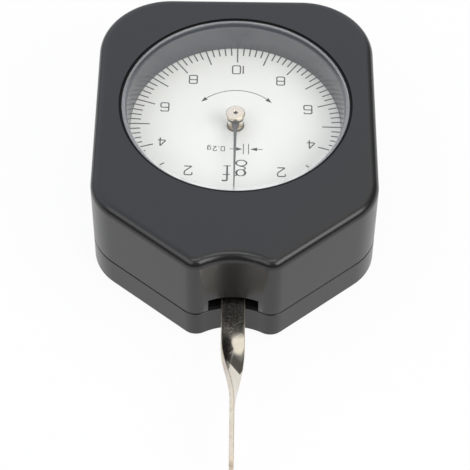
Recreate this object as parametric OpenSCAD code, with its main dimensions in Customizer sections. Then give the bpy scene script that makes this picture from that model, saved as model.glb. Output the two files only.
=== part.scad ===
// Dial tension gauge: a hand-held gauge that reads the sideways push on its feeler blade, to either hand.
// The blade turns a toothed sector about an upright arbor, and the sector turns the pinion that carries
// the pointer. Millimetres. The origin is where the pointer's axis meets the back of the case. +Z is up
// through the dial, +Y runs to the back edge, and the blade points along -Y.

/* [Case] */
// Width across the straight sides
case_w = 60; // [58:0.5:66]
// Pointer axis to the back edge
back_reach = 31.4; // [30.5:0.1:35]
// Pointer axis to the corner where a side would meet its slanted wall
shoulder_reach = 27.1; // [25.5:0.1:28]
// Slope of the slanted walls, from straight across
slant_angle = 38.75; // [38:0.25:41]
// Pointer axis to the bottom of the hollow in the nose
scallop_reach = 42; // [41.3:0.1:43]
// Radius of the hollow in the nose
scallop_r = 13; // [11:0.25:15]
// Back of the case to its top face
case_h = 24.3; // [22:0.1:28]
// Height of the rear cover, up to the parting line
cover_h = 7.5; // [7.2:0.1:8]
// Thickness of the side walls
wall = 2; // [1.6:0.1:2.2]
// Thickness of the top and of the rear cover's floor
floor_t = 2; // [1.6:0.1:2.2]
// Radius of the back corners
back_corner_r = 15.6; // [14:0.2:17]
// Radius of the shoulders
shoulder_r = 11.4; // [10.5:0.1:13]
// Radius of the two corners of the nose
nose_r = 3.5; // [2.1:0.1:4]
// Radius of the rounded top edge
edge_r = 2; // [0.8:0.1:2.2]
// Radius of the rounded edge of the rear cover
cover_edge_r = 0.6; // [0.3:0.1:1]
// Width of the slot that the blade leaves by
slot_w = 10.3; // [10.1:0.1:11.5]
// Height of that slot above the parting line
slot_h = 3.3; // [3:0.1:4.5]
// Height of the lip that locates the two shells
lip_h = 1.2; // [0.8:0.1:1.6]
// Thickness of that lip
lip_t = 0.9; // [0.7:0.1:1.2]

/* [Case screws] */
// Radius of the bosses that take the case screws
boss_r = 3; // [2.7:0.1:3.2]
// Length of the bosses in the upper case
boss_h = 8; // [7:0.5:9]
// Radius of a case screw's shank
case_screw_r = 1.1; // [0.9:0.1:1.3]
// Length of a case screw under its head
case_screw_l = 11; // [9:0.5:12]
// Radius of a case screw's head
case_head_r = 2; // [1.7:0.1:2.1]
// Height of a case screw's head
case_head_h = 1.4; // [1:0.1:1.6]
// Depth of a case screw's head below the back of the case
case_head_sink = 0.3; // [0.2:0.1:0.6]
// Length left solid at the end of a boss, past its screw hole
boss_end = 1; // [0.6:0.1:1.5]

/* [Window and dial] */
// Radius of the crystal
crystal_r = 24.4; // [22:0.1:26]
// Width of the ledge that the crystal sits on
ledge_w = 0.5; // [0.4:0.1:1.6]
// How much wider the chamber over the dial is at that ledge than at the dial
chamber_draft = 1.2; // [0:0.1:1.8]
// Thickness of the crystal
crystal_t = 2; // [1.5:0.1:2.4]
// Depth of the crystal's face below the top of the case
crystal_sink = 0.1; // [0.1:0.1:0.6]
// Width of the crystal's bevel
crystal_bevel = 0.7; // [0.3:0.1:0.9]
// Depth of the crystal's bevel
crystal_bevel_h = 0.15; // [0.1:0.05:0.9]
// Gap round the crystal, which the gasket fills
crystal_gap = 0.6; // [0.4:0.1:0.8]
// Depth of the gasket's top below the top of the case
gasket_sink = 0.9; // [0.5:0.1:1.4]
// Thickness of the skirt wall outside the gasket
skirt_t = 0.9; // [0.7:0.1:1.2]
// Depth of the dial's face below the top of the case
dial_depth = 8.4; // [8:0.1:8.6]
// Outside of the skirt to the edge of the dial
dial_inset = 1; // [0.6:0.1:1.6]
// Thickness of the dial
dial_t = 0.5; // [0.4:0.1:0.7]
// Radius of a dial foot
dial_foot_r = 0.6; // [0.4:0.1:0.8]
// Length of a dial foot
dial_foot_l = 1.3; // [0.8:0.1:1.4]
// Edge of the bridge to the middle of a dial foot
dial_foot_edge = 5; // [3:0.5:7]

/* [Pointer] */
// Tip of the pointer to the wall of the chamber
pointer_gap = 1.2; // [0.6:0.1:4]
// Thickness of the pointer's blade
pointer_t = 0.3; // [0.2:0.05:0.4]
// Width of the blade where it leaves its boss
pointer_root_w = 1.6; // [1.2:0.1:2]
// Width of the blade past its root
pointer_neck_w = 0.75; // [0.6:0.05:0.9]
// Width of the blade at its tip
pointer_tip_w = 0.3; // [0.2:0.05:0.5]
// Radius of the boss's flange
boss_flange_r = 2.1; // [1.9:0.1:2.4]
// Height of the boss's flange
boss_flange_h = 0.7; // [0.5:0.1:0.9]
// Radius of the boss's neck, between its flange and the blade
boss_neck_r = 1.5; // [1.4:0.1:1.7]
// Height of that neck
boss_neck_h = 0.5; // [0.3:0.1:0.6]
// Radius of the boss's barrel
boss_barrel_r = 1.2; // [1:0.1:1.3]
// Dial to the top of the pointer's boss
boss_top = 4.2; // [3.8:0.1:4.5]
// Pointer's blade to the bottom of its boss
boss_foot = 1.2; // [0.8:0.1:1.2]
// Chamfer round the top of the boss
boss_chamfer = 0.3; // [0.2:0.05:0.4]
// Top of the boss to the end of the arbor inside it
arbor_sink = 0.6; // [0.3:0.05:0.8]
// Edge of the flange to the edge of the blade's round root
root_inset = 0.2; // [0.1:0.05:0.4]
// Length of the blade's root past the flange
root_l = 0.3; // [0.2:0.1:0.6]
// Length over which the root narrows to the neck
neck_l = 1.3; // [1:0.1:1.8]

/* [Gears] */
// Module of the sector and the pinion
gear_module = 0.2; // [0.196:0.001:0.202]
// Teeth on the pinion
pinion_teeth = 10; // [10:1:10]
// Teeth that the sector would have if it were a whole wheel
sector_teeth = 240; // [236:2:242]
// Teeth cut on the sector
sector_cut_teeth = 16; // [14:2:18]
// Tooth thickness taken off each wheel, so that the mesh runs free
backlash = 0.05; // [0.03:0.01:0.07]
// Turn of the pointer from zero to full scale, either way
full_scale = 180; // [120:5:180]
// Thickness of the sector
sector_t = 1.2; // [1:0.1:1.3]
// Half width of the sector's arm
sector_half_w = 4.8; // [4.5:0.1:5.2]
// Depth of the sector's rim below its pitch circle
sector_rim = 2.5; // [1.5:0.1:3.5]
// Length of the pinion's leaves
pinion_l = 1.8; // [1.6:0.1:2]

/* [Feeler blade] */
// Pointer axis to the tip of the blade
tip_reach = 82.5; // [74:0.5:95]
// Pointer axis to the start of the quarter twist
twist_start = 49.5; // [48:0.5:54]
// Length of the quarter twist
twist_l = 18.5; // [14:0.5:20]
// Width of the blade
blade_w = 4.9; // [4.4:0.1:5.1]
// Thickness of the blade
blade_t = 1; // [0.8:0.1:1.1]
// Radius of the corners of the tip
tip_r = 1.6; // [1:0.1:2]
// Parting line to the middle of the blade
blade_rise = 1.7; // [1.5:0.1:1.9]
// Hub of the lever to the inner end of the blade
blade_gap = 0.2; // [0.1:0.1:0.5]
// Radius of a rivet's shank
rivet_r = 0.6; // [0.5:0.1:0.8]
// Radius of a rivet's head
rivet_head_r = 1.1; // [1:0.1:1.3]
// Height of a rivet's head
rivet_head_h = 0.4; // [0.3:0.1:0.4]
// Inner end of the blade to the first rivet
rivet_edge = 1.2; // [1.1:0.1:2]
// Spacing of the two rivets
rivet_pitch = 4; // [3.5:0.5:4.5]

/* [Movement] */
// Radius of the round part of the two plates
plate_r = 20; // [19.5:0.5:22]
// Half width of the arm of the plates that carries the lever arbor
plate_arm_half_w = 11.5; // [11:0.1:12.5]
// Thickness of the main plate and of the bridge
plate_t = 1.5; // [1.2:0.1:1.6]
// Main plate's top to the middle of the blade
plate_drop = 3.2; // [3:0.1:3.4]
// Radius of a pillar
pillar_r = 1.6; // [1.4:0.1:1.7]
// Radius of a pillar screw's shank
pillar_screw_r = 0.8; // [0.6:0.1:0.9]
// Radius of the heads of the small screws
small_head_r = 1.6; // [1.4:0.1:1.8]
// Height of the heads of the small screws
small_head_h = 1; // [0.8:0.1:1.2]
// Radius of the posts that the movement stands on
post_r = 2.6; // [2.3:0.1:3]
// Radius of a movement screw's shank
movement_screw_r = 0.9; // [0.7:0.1:1]
// Length of a movement screw under its head
movement_screw_l = 3.6; // [3:0.1:3.8]
// Room left under the end of a movement screw
screw_end_gap = 0.2; // [0.1:0.05:0.3]
// Radius of the lever arbor
lever_arbor_r = 1; // [0.9:0.1:1.2]
// Radius of the lever arbor's pivots
lever_pivot_r = 0.5; // [0.4:0.05:0.6]
// Radius of the pinion's arbor
pinion_arbor_r = 0.6; // [0.55:0.05:0.65]
// Radius of the pinion arbor's pivots
pinion_pivot_r = 0.4; // [0.35:0.05:0.45]
// Radius of the small bushes
bush_r = 1.5; // [1.3:0.1:1.7]
// Radius of the bush that shows through the dial
dial_bush_r = 1.75; // [1.6:0.05:1.9]
// Height of that bush above the dial
dial_bush_rise = 0.7; // [0.5:0.1:0.8]
// Radius of the lever hub's flange
hub_flange_r = 4; // [3.6:0.1:4.3]
// Height of the lever hub's flange
hub_flange_h = 0.9; // [0.7:0.1:1.1]
// Radius of the lever hub's barrel
hub_barrel_r = 2.2; // [1.8:0.1:2.4]
// Radius of the balance weights
weight_r = 4.2; // [3.6:0.1:4.4]
// Gap between a balance weight and the plate next to it
weight_gap = 0.5; // [0.3:0.1:1]
// Lever arbor to the balance weights
weight_reach = 13; // [12.5:0.1:13.5]
// Radius of the rivet that holds the balance weights
balance_rivet_r = 0.7; // [0.5:0.05:0.9]
// Radius of a stop pin
stop_pin_r = 0.5; // [0.4:0.1:0.6]
// Lever arbor to the line of the stop pins
stop_reach = 7.4; // [7.2:0.1:7.8]
// Stop pins to the end of the plates' arm
plate_arm_edge = 2.2; // [1.6:0.1:3]
// Edge of a plate to the side of a pillar or post
plate_edge = 1; // [0.8:0.1:1.4]
// Lever arbor to the front pillars, along the case
pillar_reach = 3; // [2.5:0.1:4]

/* [Springs] */
// Main plate to the measuring spring
spring_rise = 0.4; // [0.3:0.1:0.6]
// Height of the measuring spring's strip
spring_h = 1.6; // [1.2:0.1:1.7]
// Thickness of the measuring spring's strip
spring_t = 0.25; // [0.2:0.01:0.3]
// Turns of the measuring spring
spring_turns = 4; // [3:1:4]
// Step between turns of the measuring spring
spring_pitch = 0.95; // [0.8:0.01:1]
// Radius of the measuring spring's collet
spring_collet_r = 2; // [1.8:0.1:2.1]
// Main plate to the hairspring
hair_rise = 0.8; // [0.5:0.1:1.4]
// Height of the hairspring's strip
hair_h = 0.7; // [0.5:0.1:0.9]
// Thickness of the hairspring's strip
hair_t = 0.12; // [0.1:0.01:0.15]
// Turns of the hairspring
hair_turns = 5; // [4:1:5]
// Step between turns of the hairspring
hair_pitch = 0.62; // [0.6:0.01:0.66]
// Radius of the hairspring's collet
hair_collet_r = 1.1; // [1:0.1:1.3]
// Height by which a collet or stud stands past its strip
collet_over = 0.2; // [0.1:0.1:0.3]
// Radius of the stud that holds the measuring spring's outer end
spring_stud_r = 0.7; // [0.6:0.05:0.75]
// Radius of the stud that holds the hairspring's outer end
hair_stud_r = 0.4; // [0.35:0.05:0.45]

/* [Clearances] */
// Between pieces that are pressed, riveted or screwed together
seat_gap = 0.03; // [0.02:0.01:0.05]
// Between a pivot and its bush
run_gap = 0.04; // [0.02:0.01:0.08]
// End shake of an arbor between the plates
end_shake = 0.1; // [0.05:0.05:0.2]
// Between shells that slip into each other
shell_gap = 0.1; // [0.05:0.05:0.2]
// Between a spring's strip and the slit of its stud
slit_gap = 0.1; // [0.08:0.01:0.15]
// Left between the blade and a stop pin at full scale
stop_gap = 0.1; // [0.05:0.05:0.2]

/* [Hidden] */
$fn = 64;

half_w = case_w / 2;
eps = 0.01;
over = 1;

// Heights of the stack, from the back of the case upwards
blade_z = cover_h + blade_rise;
blade_bottom = blade_z - blade_t / 2;
blade_top = blade_z + blade_t / 2;
sector_top = blade_top + sector_t;
plate_top = blade_z - plate_drop;
plate_bottom = plate_top - plate_t;
dial_z = case_h - dial_depth;
bridge_top = dial_z - dial_t;
bridge_bottom = bridge_top - plate_t;
crystal_seat = case_h - crystal_sink - crystal_t;
window_r = crystal_r - ledge_w - chamber_draft;
bore_r = crystal_r + crystal_gap;
skirt_r = bore_r + skirt_t;
dial_r = skirt_r - dial_inset;
pointer_reach = window_r - pointer_gap;
pointer_boss_z = dial_z + boss_top;
flange_bottom = pointer_boss_z - boss_flange_h;
pointer_z = flange_bottom - boss_neck_h - pointer_t;

// Gear train: the pinion turns on the pointer's axis and the sector on the lever arbor
centre_distance = gear_module * (pinion_teeth + sector_teeth) / 2;
arbor_y = -centre_distance;
swing = full_scale * pinion_teeth / sector_teeth;
pressure_angle = 20;
sector_addendum = 0.5 * gear_module;
pinion_addendum = gear_module;
dedendum = 1.25 * gear_module;
sector_pitch_r = gear_module * sector_teeth / 2;
pinion_pitch_r = gear_module * pinion_teeth / 2;

// Springs and the studs at their outer ends
spring_z = plate_top + spring_rise;
spring_r0 = spring_collet_r + seat_gap + spring_t / 2;
spring_end_r = spring_r0 + spring_pitch * spring_turns;
hair_z = plate_top + hair_rise;
hair_r0 = hair_collet_r + seat_gap + hair_t / 2;
hair_end_r = hair_r0 + hair_pitch * hair_turns;

// Places of the fasteners
shoulder_tangent = shoulder_r * tan((90 - slant_angle) / 2);
back_centre = [half_w - back_corner_r, back_reach - back_corner_r];
shoulder_centre = [half_w - shoulder_r, shoulder_tangent - shoulder_reach];
boss_overlap = 0.3;
back_boss_turn = 45;
shoulder_boss_turn = -25;
function polar(r, a) = [r * cos(a), r * sin(a)];
back_boss = back_centre + polar(back_corner_r - wall - boss_r + boss_overlap, back_boss_turn);
front_boss = shoulder_centre + polar(shoulder_r - wall - boss_r + boss_overlap, shoulder_boss_turn);
bosses = [for (p = [back_boss, front_boss], side = [-1, 1]) [side * p[0], p[1]]];
pillar_turn = 38;
post_turns = [-10, 90, 190];
foot_turns = [20, 160];
back_pillar = polar(plate_r - pillar_r - plate_edge, pillar_turn);
front_pillar = [plate_arm_half_w - pillar_r - plate_edge, arbor_y - pillar_reach];
pillar_spots = [for (p = [back_pillar, front_pillar], side = [-1, 1]) [side * p[0], p[1]]];
post_spots = [for (a = post_turns) polar(plate_r - post_r - plate_edge, a)];
foot_spots = [for (a = foot_turns) polar(plate_r - dial_foot_edge, a)];
plate_arm_end = arbor_y - stop_reach - plate_arm_edge;
stop_x = (blade_w / 2 + stop_pin_r + stop_gap + stop_reach * sin(swing)) / cos(swing);
stop_spots = [for (side = [-1, 1]) [side * stop_x, arbor_y - stop_reach]];
blade_inner = hub_flange_r + blade_gap;
rivet_reach = blade_inner + rivet_edge;
rivet_spots = [for (i = [0, 1]) [0, arbor_y - rivet_reach - i * rivet_pitch]];
weight_spot = [0, arbor_y + weight_reach];
spring_stud_spot = [0, arbor_y] + polar(spring_end_r, 90);
hair_stud_spot = polar(hair_end_r, 90);
rivet_margin = 0.3;
sector_front = rivet_reach + rivet_pitch + rivet_head_r + rivet_margin;

// Points from angle a0 to a1 along an arc about c
function arc(c, r, a0, a1, n) = [for (i = [0:n]) c + polar(r, a0 + (a1 - a0) * i / n)];
function mirrored(points) = [for (i = [len(points) - 1:-1:0]) [-points[i][0], points[i][1]]];

// The case's outline, drawn in by inset. The nose corner touches the slanted wall and the hollow, so its
// centre lies on a line parallel to the wall, at a set distance from the hollow's centre.
wall_normal = polar(1, slant_angle - 90);
wall_along = polar(1, slant_angle);
scallop_centre = [0, -scallop_reach - scallop_r];
least_nose_r = 0.3;
scallop_first = 87;
function nose_corner_r(inset) = max(nose_r - inset, least_nose_r);
function nose_centre(inset) =
    let (r = nose_corner_r(inset),
        start = [half_w, -shoulder_reach] - (inset + r) * wall_normal - scallop_centre,
        reach = scallop_r + inset + r,
        b = start * wall_along,
        run = -b - sqrt(b * b - start * start + reach * reach),
        other = -b + sqrt(b * b - start * start + reach * reach))
    scallop_centre + start + (start[0] + run * wall_along[0] > 0 ? run : other) * wall_along;
function half_outline(inset) =
    let (n = nose_centre(inset),
        meet = atan2(n[1] - scallop_centre[1], n[0] - scallop_centre[0]))
    concat(arc(scallop_centre, scallop_r + inset, scallop_first, meet, 6),
        arc(n, nose_corner_r(inset), meet - 180, slant_angle - 90, 8),
        arc(shoulder_centre, shoulder_r - inset, slant_angle - 90, 0, 9),
        arc(back_centre, back_corner_r - inset, 0, 90, 15));
function outline(inset = 0) = concat(half_outline(inset), mirrored(half_outline(inset)));

// A solid whose rings are the outline at [height, inset] pairs, from the bottom up
module layered(rings) {
    n = len(outline());
    points = [for (ring = rings) for (p = outline(ring[1])) [p[0], p[1], ring[0]]];
    sides = [for (k = [0:len(rings) - 2], i = [0:n - 1])
        let (a = k * n + i, b = k * n + (i + 1) % n) each [[a, a + n, b], [b, a + n, b + n]]];
    bottom = [for (i = [0:n - 1]) i];
    top = [for (i = [n - 1:-1:0]) (len(rings) - 1) * n + i];
    polyhedron(points, concat([bottom], sides, [top]), convexity = 6);
}

module prism(inset, z0, z1) translate([0, 0, z0]) linear_extrude(z1 - z0) polygon(outline(inset));

module rod(r, z0, z1, at = [0, 0]) translate([at[0], at[1], z0]) cylinder(r = r, h = z1 - z0);

module rods(r, z0, z1, spots) for (p = spots) rod(r, z0, z1, p);

module ring(r_in, r_out, z0, z1, at = [0, 0]) difference() {
    rod(r_out, z0, z1, at);
    rod(r_in, z0 - over, z1 + over, at);
}

// The two shells
edge_steps = 6;

module upper_case() color("#2b2c2f") difference() {
    union() {
        difference() {
            layered(concat([[cover_h, 0]], [for (i = [0:edge_steps])
                let (a = 90 * i / edge_steps) [case_h - edge_r * (1 - sin(a)), edge_r * (1 - cos(a))]]));
            prism(wall, cover_h - over, case_h - floor_t);
        }
        rod(skirt_r, dial_z + shell_gap, case_h - floor_t + eps);
        intersection() {
            rods(boss_r, cover_h, cover_h + boss_h, bosses);
            prism(wall - boss_overlap, cover_h - over, case_h);
        }
    }
    translate([0, 0, dial_z])
        cylinder(r1 = window_r, r2 = window_r + chamber_draft, h = crystal_seat + eps - dial_z);
    rod(bore_r, crystal_seat, case_h + over);
    rods(case_screw_r + seat_gap, cover_h - over, cover_h + boss_h - boss_end, bosses);
    translate([-slot_w / 2, -scallop_reach - scallop_r, cover_h - over])
        cube([slot_w, scallop_r + wall + over, slot_h + over]);
}

head_floor = case_head_h + case_head_sink;

module rear_cover() color("#2b2c2f") difference() {
    union() {
        difference() {
            layered(concat([for (i = [0:3]) let (a = 90 * i / 3)
                [cover_edge_r * (1 - cos(a)), cover_edge_r * (1 - sin(a))]], [[cover_h, 0]]));
            prism(wall, floor_t, cover_h + over);
        }
        difference() {
            prism(wall + shell_gap, floor_t, cover_h + lip_h);
            prism(wall + shell_gap + lip_t, floor_t - over, cover_h + lip_h + over);
            rods(boss_r + shell_gap, cover_h, cover_h + lip_h + over, bosses);
            translate([-slot_w / 2 - over, -scallop_reach - scallop_r, cover_h])
                cube([slot_w + 2 * over, scallop_r + 3 * wall, lip_h + over]);
        }
        intersection() {
            rods(boss_r, floor_t - eps, cover_h, bosses);
            prism(wall - boss_overlap, 0, cover_h + over);
        }
        rods(post_r, floor_t - eps, plate_bottom, post_spots);
    }
    rods(case_screw_r + seat_gap, -over, cover_h + over, bosses);
    rods(case_head_r + shell_gap, -over, head_floor, bosses);
    rods(movement_screw_r + seat_gap, plate_top - movement_screw_l - screw_end_gap, cover_h + over,
        post_spots);
}

// A screw that points along +Z or -Z, with a slot across its head
driver_slot_share = 0.45;
module screw(r, l, head_r, head_h, up = true) mirror([0, 0, up ? 0 : 1]) difference() {
    union() {
        rod(r, -eps, l);
        rod(head_r, -head_h, 0);
    }
    translate([-head_r - over, -r / 4, -head_h - over])
        cube([2 * head_r + 2 * over, r / 2, over + head_h * driver_slot_share]);
}

module case_screws() color("#8b8d90")
    for (p = bosses) translate([p[0], p[1], head_floor])
        screw(case_screw_r, case_screw_l, case_head_r, case_head_h);

// The window and the dial
module crystal() color("#dfe8ec", 0.35) translate([0, 0, crystal_seat]) rotate_extrude()
    polygon([[0, 0], [crystal_r, 0], [crystal_r, crystal_t - crystal_bevel_h],
        [crystal_r - crystal_bevel, crystal_t], [0, crystal_t]]);

module crystal_gasket() color("#131416")
    ring(crystal_r + seat_gap, bore_r - seat_gap, crystal_seat, case_h - gasket_sink);

module dial_plate() color("#eceeea") difference() {
    rod(dial_r, bridge_top, dial_z);
    rod(dial_bush_r + shell_gap, bridge_top - over, dial_z + over);
}

module dial_feet() color("#b9a25c") rods(dial_foot_r, bridge_top - dial_foot_l, bridge_top, foot_spots);

// The movement's frame
module plate_blank(z0) {
    rod(plate_r, z0, z0 + plate_t);
    translate([-plate_arm_half_w, plate_arm_end, z0]) cube([2 * plate_arm_half_w, -plate_arm_end, plate_t]);
}

module main_plate() color("#c2a14d") difference() {
    plate_blank(plate_bottom);
    rods(pillar_screw_r + seat_gap, plate_bottom - over, plate_top + over, pillar_spots);
    rods(movement_screw_r + seat_gap, plate_bottom - over, plate_top + over, post_spots);
    rods(stop_pin_r + seat_gap, plate_bottom - over, plate_top + over, stop_spots);
    rod(spring_stud_r + seat_gap, plate_bottom - over, plate_top + over, spring_stud_spot);
    rod(hair_stud_r + seat_gap, plate_bottom - over, plate_top + over, hair_stud_spot);
    rods(bush_r + seat_gap, plate_bottom - over, plate_top + over, [[0, 0], [0, arbor_y]]);
}

module bridge_plate() color("#c2a14d") difference() {
    plate_blank(bridge_bottom);
    rods(pillar_screw_r + seat_gap, bridge_bottom - over, bridge_top + over, pillar_spots);
    rods(dial_foot_r + seat_gap, bridge_bottom - over, bridge_top + over, foot_spots);
    rod(dial_bush_r + seat_gap, bridge_bottom - over, bridge_top + over);
    rod(bush_r + seat_gap, bridge_bottom - over, bridge_top + over, [0, arbor_y]);
}

module pillars() color("#c9ad5e")
    for (p = pillar_spots) ring(pillar_screw_r + seat_gap, pillar_r, plate_top, bridge_bottom, p);

module pillar_screws() color("#7f8387")
    for (p = pillar_spots) translate([p[0], p[1], plate_bottom])
        screw(pillar_screw_r, bridge_top - plate_bottom - shell_gap, small_head_r, small_head_h);

module movement_screws() color("#7f8387")
    for (p = post_spots) translate([p[0], p[1], plate_top])
        screw(movement_screw_r, movement_screw_l, small_head_r, small_head_h, up = false);

module lever_bushes() color("#d0b060") {
    ring(lever_pivot_r + run_gap, bush_r, plate_bottom, plate_top, [0, arbor_y]);
    ring(lever_pivot_r + run_gap, bush_r, bridge_bottom, bridge_top, [0, arbor_y]);
}

module pinion_bush() color("#d0b060") ring(pinion_pivot_r + run_gap, bush_r, plate_bottom, plate_top);

module dial_bush() color("#d9b565")
    ring(pinion_pivot_r + run_gap, dial_bush_r, bridge_bottom, dial_z + dial_bush_rise);

module stop_pins() color("#9a9da0") rods(stop_pin_r, plate_bottom, blade_top, stop_spots);

// The lever: what turns with the feeler blade
module lever_arbor() color("#a7aaad") {
    rod(lever_pivot_r, plate_bottom, bridge_top - end_shake, [0, arbor_y]);
    rod(lever_arbor_r, plate_top + end_shake, bridge_bottom - end_shake, [0, arbor_y]);
}

module lever_hub() color("#c9ad5e") difference() {
    union() {
        rod(hub_flange_r, blade_top - hub_flange_h, blade_top, [0, arbor_y]);
        rod(hub_barrel_r, blade_top - eps, sector_top, [0, arbor_y]);
    }
    rod(lever_arbor_r + seat_gap, blade_top - hub_flange_h - over, sector_top + over, [0, arbor_y]);
}

// Half the angle of a tooth at radius r, for a wheel of n teeth with its pitch circle at pitch_r
function involute(base_r, r) = r <= base_r ? 0 : let (a = acos(base_r / r)) tan(a) * 180 / PI - a;
function half_tooth(n, pitch_r, r) =
    let (base_r = pitch_r * cos(pressure_angle))
    90 / n - backlash / 2 / pitch_r * 180 / PI + involute(base_r, pitch_r) - involute(base_r, r);

// One tooth's points, anticlockwise from its right-hand root to its left-hand root
function tooth(n, pitch_r, addendum, turn, steps = 4) =
    let (root = pitch_r - dedendum,
        radii = [for (i = [0:steps]) root + (pitch_r + addendum - root) * i / steps])
    concat([for (r = radii) polar(r, turn - half_tooth(n, pitch_r, r))],
        [for (i = [steps:-1:0]) polar(radii[i], turn + half_tooth(n, pitch_r, radii[i]))]);

module sector_gear() color("#c2a14d") translate([0, arbor_y, blade_top]) difference() {
    tooth_turn = 360 / sector_teeth;
    first = 90 - (sector_cut_teeth - 1) / 2 * tooth_turn;
    linear_extrude(sector_t) {
        polygon(concat([for (i = [0:sector_cut_teeth - 1])
            each tooth(sector_teeth, sector_pitch_r, sector_addendum, first + i * tooth_turn)],
            [[-sector_half_w, sector_pitch_r - sector_rim], [-sector_half_w, 0], [sector_half_w, 0],
            [sector_half_w, sector_pitch_r - sector_rim]]));
        circle(r = sector_half_w);
        translate([-blade_w / 2, -sector_front]) square([blade_w, sector_front]);
    }
    rod(hub_barrel_r + seat_gap, -over, sector_t + over);
    rod(balance_rivet_r + seat_gap, -over, sector_t + over, weight_spot - [0, arbor_y]);
    rods(rivet_r + seat_gap, -over, sector_t + over, [for (p = rivet_spots) p - [0, arbor_y]]);
}

// The blade lies flat where it is riveted, makes a quarter turn that starts and ends softly, and stands on
// edge to its tip
twist_steps = 24;
twist_end = twist_start + twist_l;
function twist_ring(share) =
    let (y = -twist_start - twist_l * share, a = 90 * share * share * (3 - 2 * share))
    [for (c = [[-1, -1], [1, -1], [1, 1], [-1, 1]])
        let (x = c[0] * blade_w / 2, z = c[1] * blade_t / 2)
        [x * cos(a) + z * sin(a), y, blade_z - x * sin(a) + z * cos(a)]];

module twisted_part() {
    points = [for (i = [0:twist_steps]) each twist_ring(i / twist_steps)];
    sides = [for (k = [0:twist_steps - 1], i = [0:3])
        let (a = 4 * k + i, b = 4 * k + (i + 1) % 4) each [[a, a + 4, b], [b, a + 4, b + 4]]];
    last = 4 * twist_steps;
    polyhedron(points, concat([[0, 1, 2, 3]], sides, [[last + 3, last + 2, last + 1, last]]));
}

module tip_part() translate([-blade_t / 2, 0, blade_z]) rotate([90, 0, 90]) linear_extrude(blade_t)
    polygon(concat([[-twist_end, blade_w / 2]],
        arc([tip_r - tip_reach, blade_w / 2 - tip_r], tip_r, 90, 180, 8),
        arc([tip_r - tip_reach, tip_r - blade_w / 2], tip_r, 180, 270, 8),
        [[-twist_end, -blade_w / 2]]));

module feeler_blade() color("#b9b4aa") difference() {
    union() {
        translate([-blade_w / 2, -twist_start, blade_bottom])
            cube([blade_w, twist_start + arbor_y - blade_inner, blade_t]);
        twisted_part();
        tip_part();
    }
    rods(rivet_r + seat_gap, blade_bottom - over, blade_top + over, rivet_spots);
}

module blade_rivets() color("#9a9da0") for (p = rivet_spots) {
    rod(rivet_r, blade_bottom - eps, sector_top + eps, p);
    rod(rivet_head_r, sector_top, sector_top + rivet_head_h, p);
    rod(rivet_head_r, blade_bottom - rivet_head_h, blade_bottom, p);
}

module balance_weights() color("#b08d3f") {
    ring(balance_rivet_r + seat_gap, weight_r, sector_top, bridge_bottom - weight_gap, weight_spot);
    ring(balance_rivet_r + seat_gap, weight_r, plate_top + weight_gap, blade_top, weight_spot);
}

module balance_rivet() color("#9a9da0")
    rod(balance_rivet_r, plate_top + weight_gap, bridge_bottom - weight_gap, weight_spot);

module spring_collet() color("#c9ad5e")
    ring(lever_arbor_r + seat_gap, spring_collet_r, spring_z - collet_over, spring_z + spring_h + collet_over,
        [0, arbor_y]);

// A flat spiral strip from radius r0, with the given step a turn, that ends straight behind its axis
module spiral(r0, pitch, turns, strip_t, strip_h, z, at) {
    steps = turns * 30;
    function at_step(i, side) = polar(r0 + pitch * turns * i / steps + side * strip_t / 2,
        90 - 360 * turns * (1 - i / steps));
    translate([at[0], at[1], z]) linear_extrude(strip_h)
        polygon(concat([for (i = [0:steps]) at_step(i, 1)], [for (i = [steps:-1:0]) at_step(i, -1)]));
}

module measuring_spring() color("#5b6670")
    spiral(spring_r0, spring_pitch, spring_turns, spring_t, spring_h, spring_z, [0, arbor_y]);

// A stud with a slit, open at one side, that grips the end of a strip
module slit_stud(r, at, z0, z1, strip_t, strip_z) difference() {
    rod(r, z0, z1, at);
    translate([at[0] - eps, at[1] - strip_t / 2 - slit_gap, strip_z])
        cube([r + over + eps, strip_t + 2 * slit_gap, z1 - strip_z + over]);
}

module spring_stud() color("#9a9da0")
    slit_stud(spring_stud_r, spring_stud_spot, plate_bottom, spring_z + spring_h + collet_over, spring_t,
        spring_z - eps);

// The pointer: what turns with the pinion
module pinion_arbor() color("#a7aaad") {
    pinion_z = (blade_top + sector_top - pinion_l) / 2;
    rod(pinion_pivot_r, plate_bottom, pointer_boss_z - arbor_sink);
    rod(pinion_arbor_r, plate_top + end_shake, bridge_bottom - end_shake);
    translate([0, 0, pinion_z]) linear_extrude(pinion_l)
        polygon([for (i = [0:pinion_teeth - 1])
            each tooth(pinion_teeth, pinion_pitch_r, pinion_addendum, -90 + i * 360 / pinion_teeth)]);
}

module hairspring_collet() color("#c9ad5e")
    ring(pinion_arbor_r + seat_gap, hair_collet_r, hair_z - collet_over, hair_z + hair_h + collet_over);

module hairspring() color("#5b6670")
    spiral(hair_r0, hair_pitch, hair_turns, hair_t, hair_h, hair_z, [0, 0]);

module hairspring_stud() color("#9a9da0")
    slit_stud(hair_stud_r, hair_stud_spot, plate_bottom, hair_z + hair_h + collet_over, hair_t,
        hair_z - eps);

module pointer_blade() color("#2a2a2c") translate([0, 0, pointer_z]) difference() {
    root_end = boss_flange_r + root_l;
    edge = [[pointer_tip_w / 2, -pointer_reach], [pointer_neck_w / 2, -root_end - neck_l],
        [pointer_root_w / 2, -root_end], [pointer_root_w / 2, 0]];
    linear_extrude(pointer_t) {
        circle(r = boss_flange_r - root_inset);
        polygon(concat(edge, mirrored(edge)));
    }
    rod(boss_barrel_r + seat_gap, -over, pointer_t + over);
}

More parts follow.
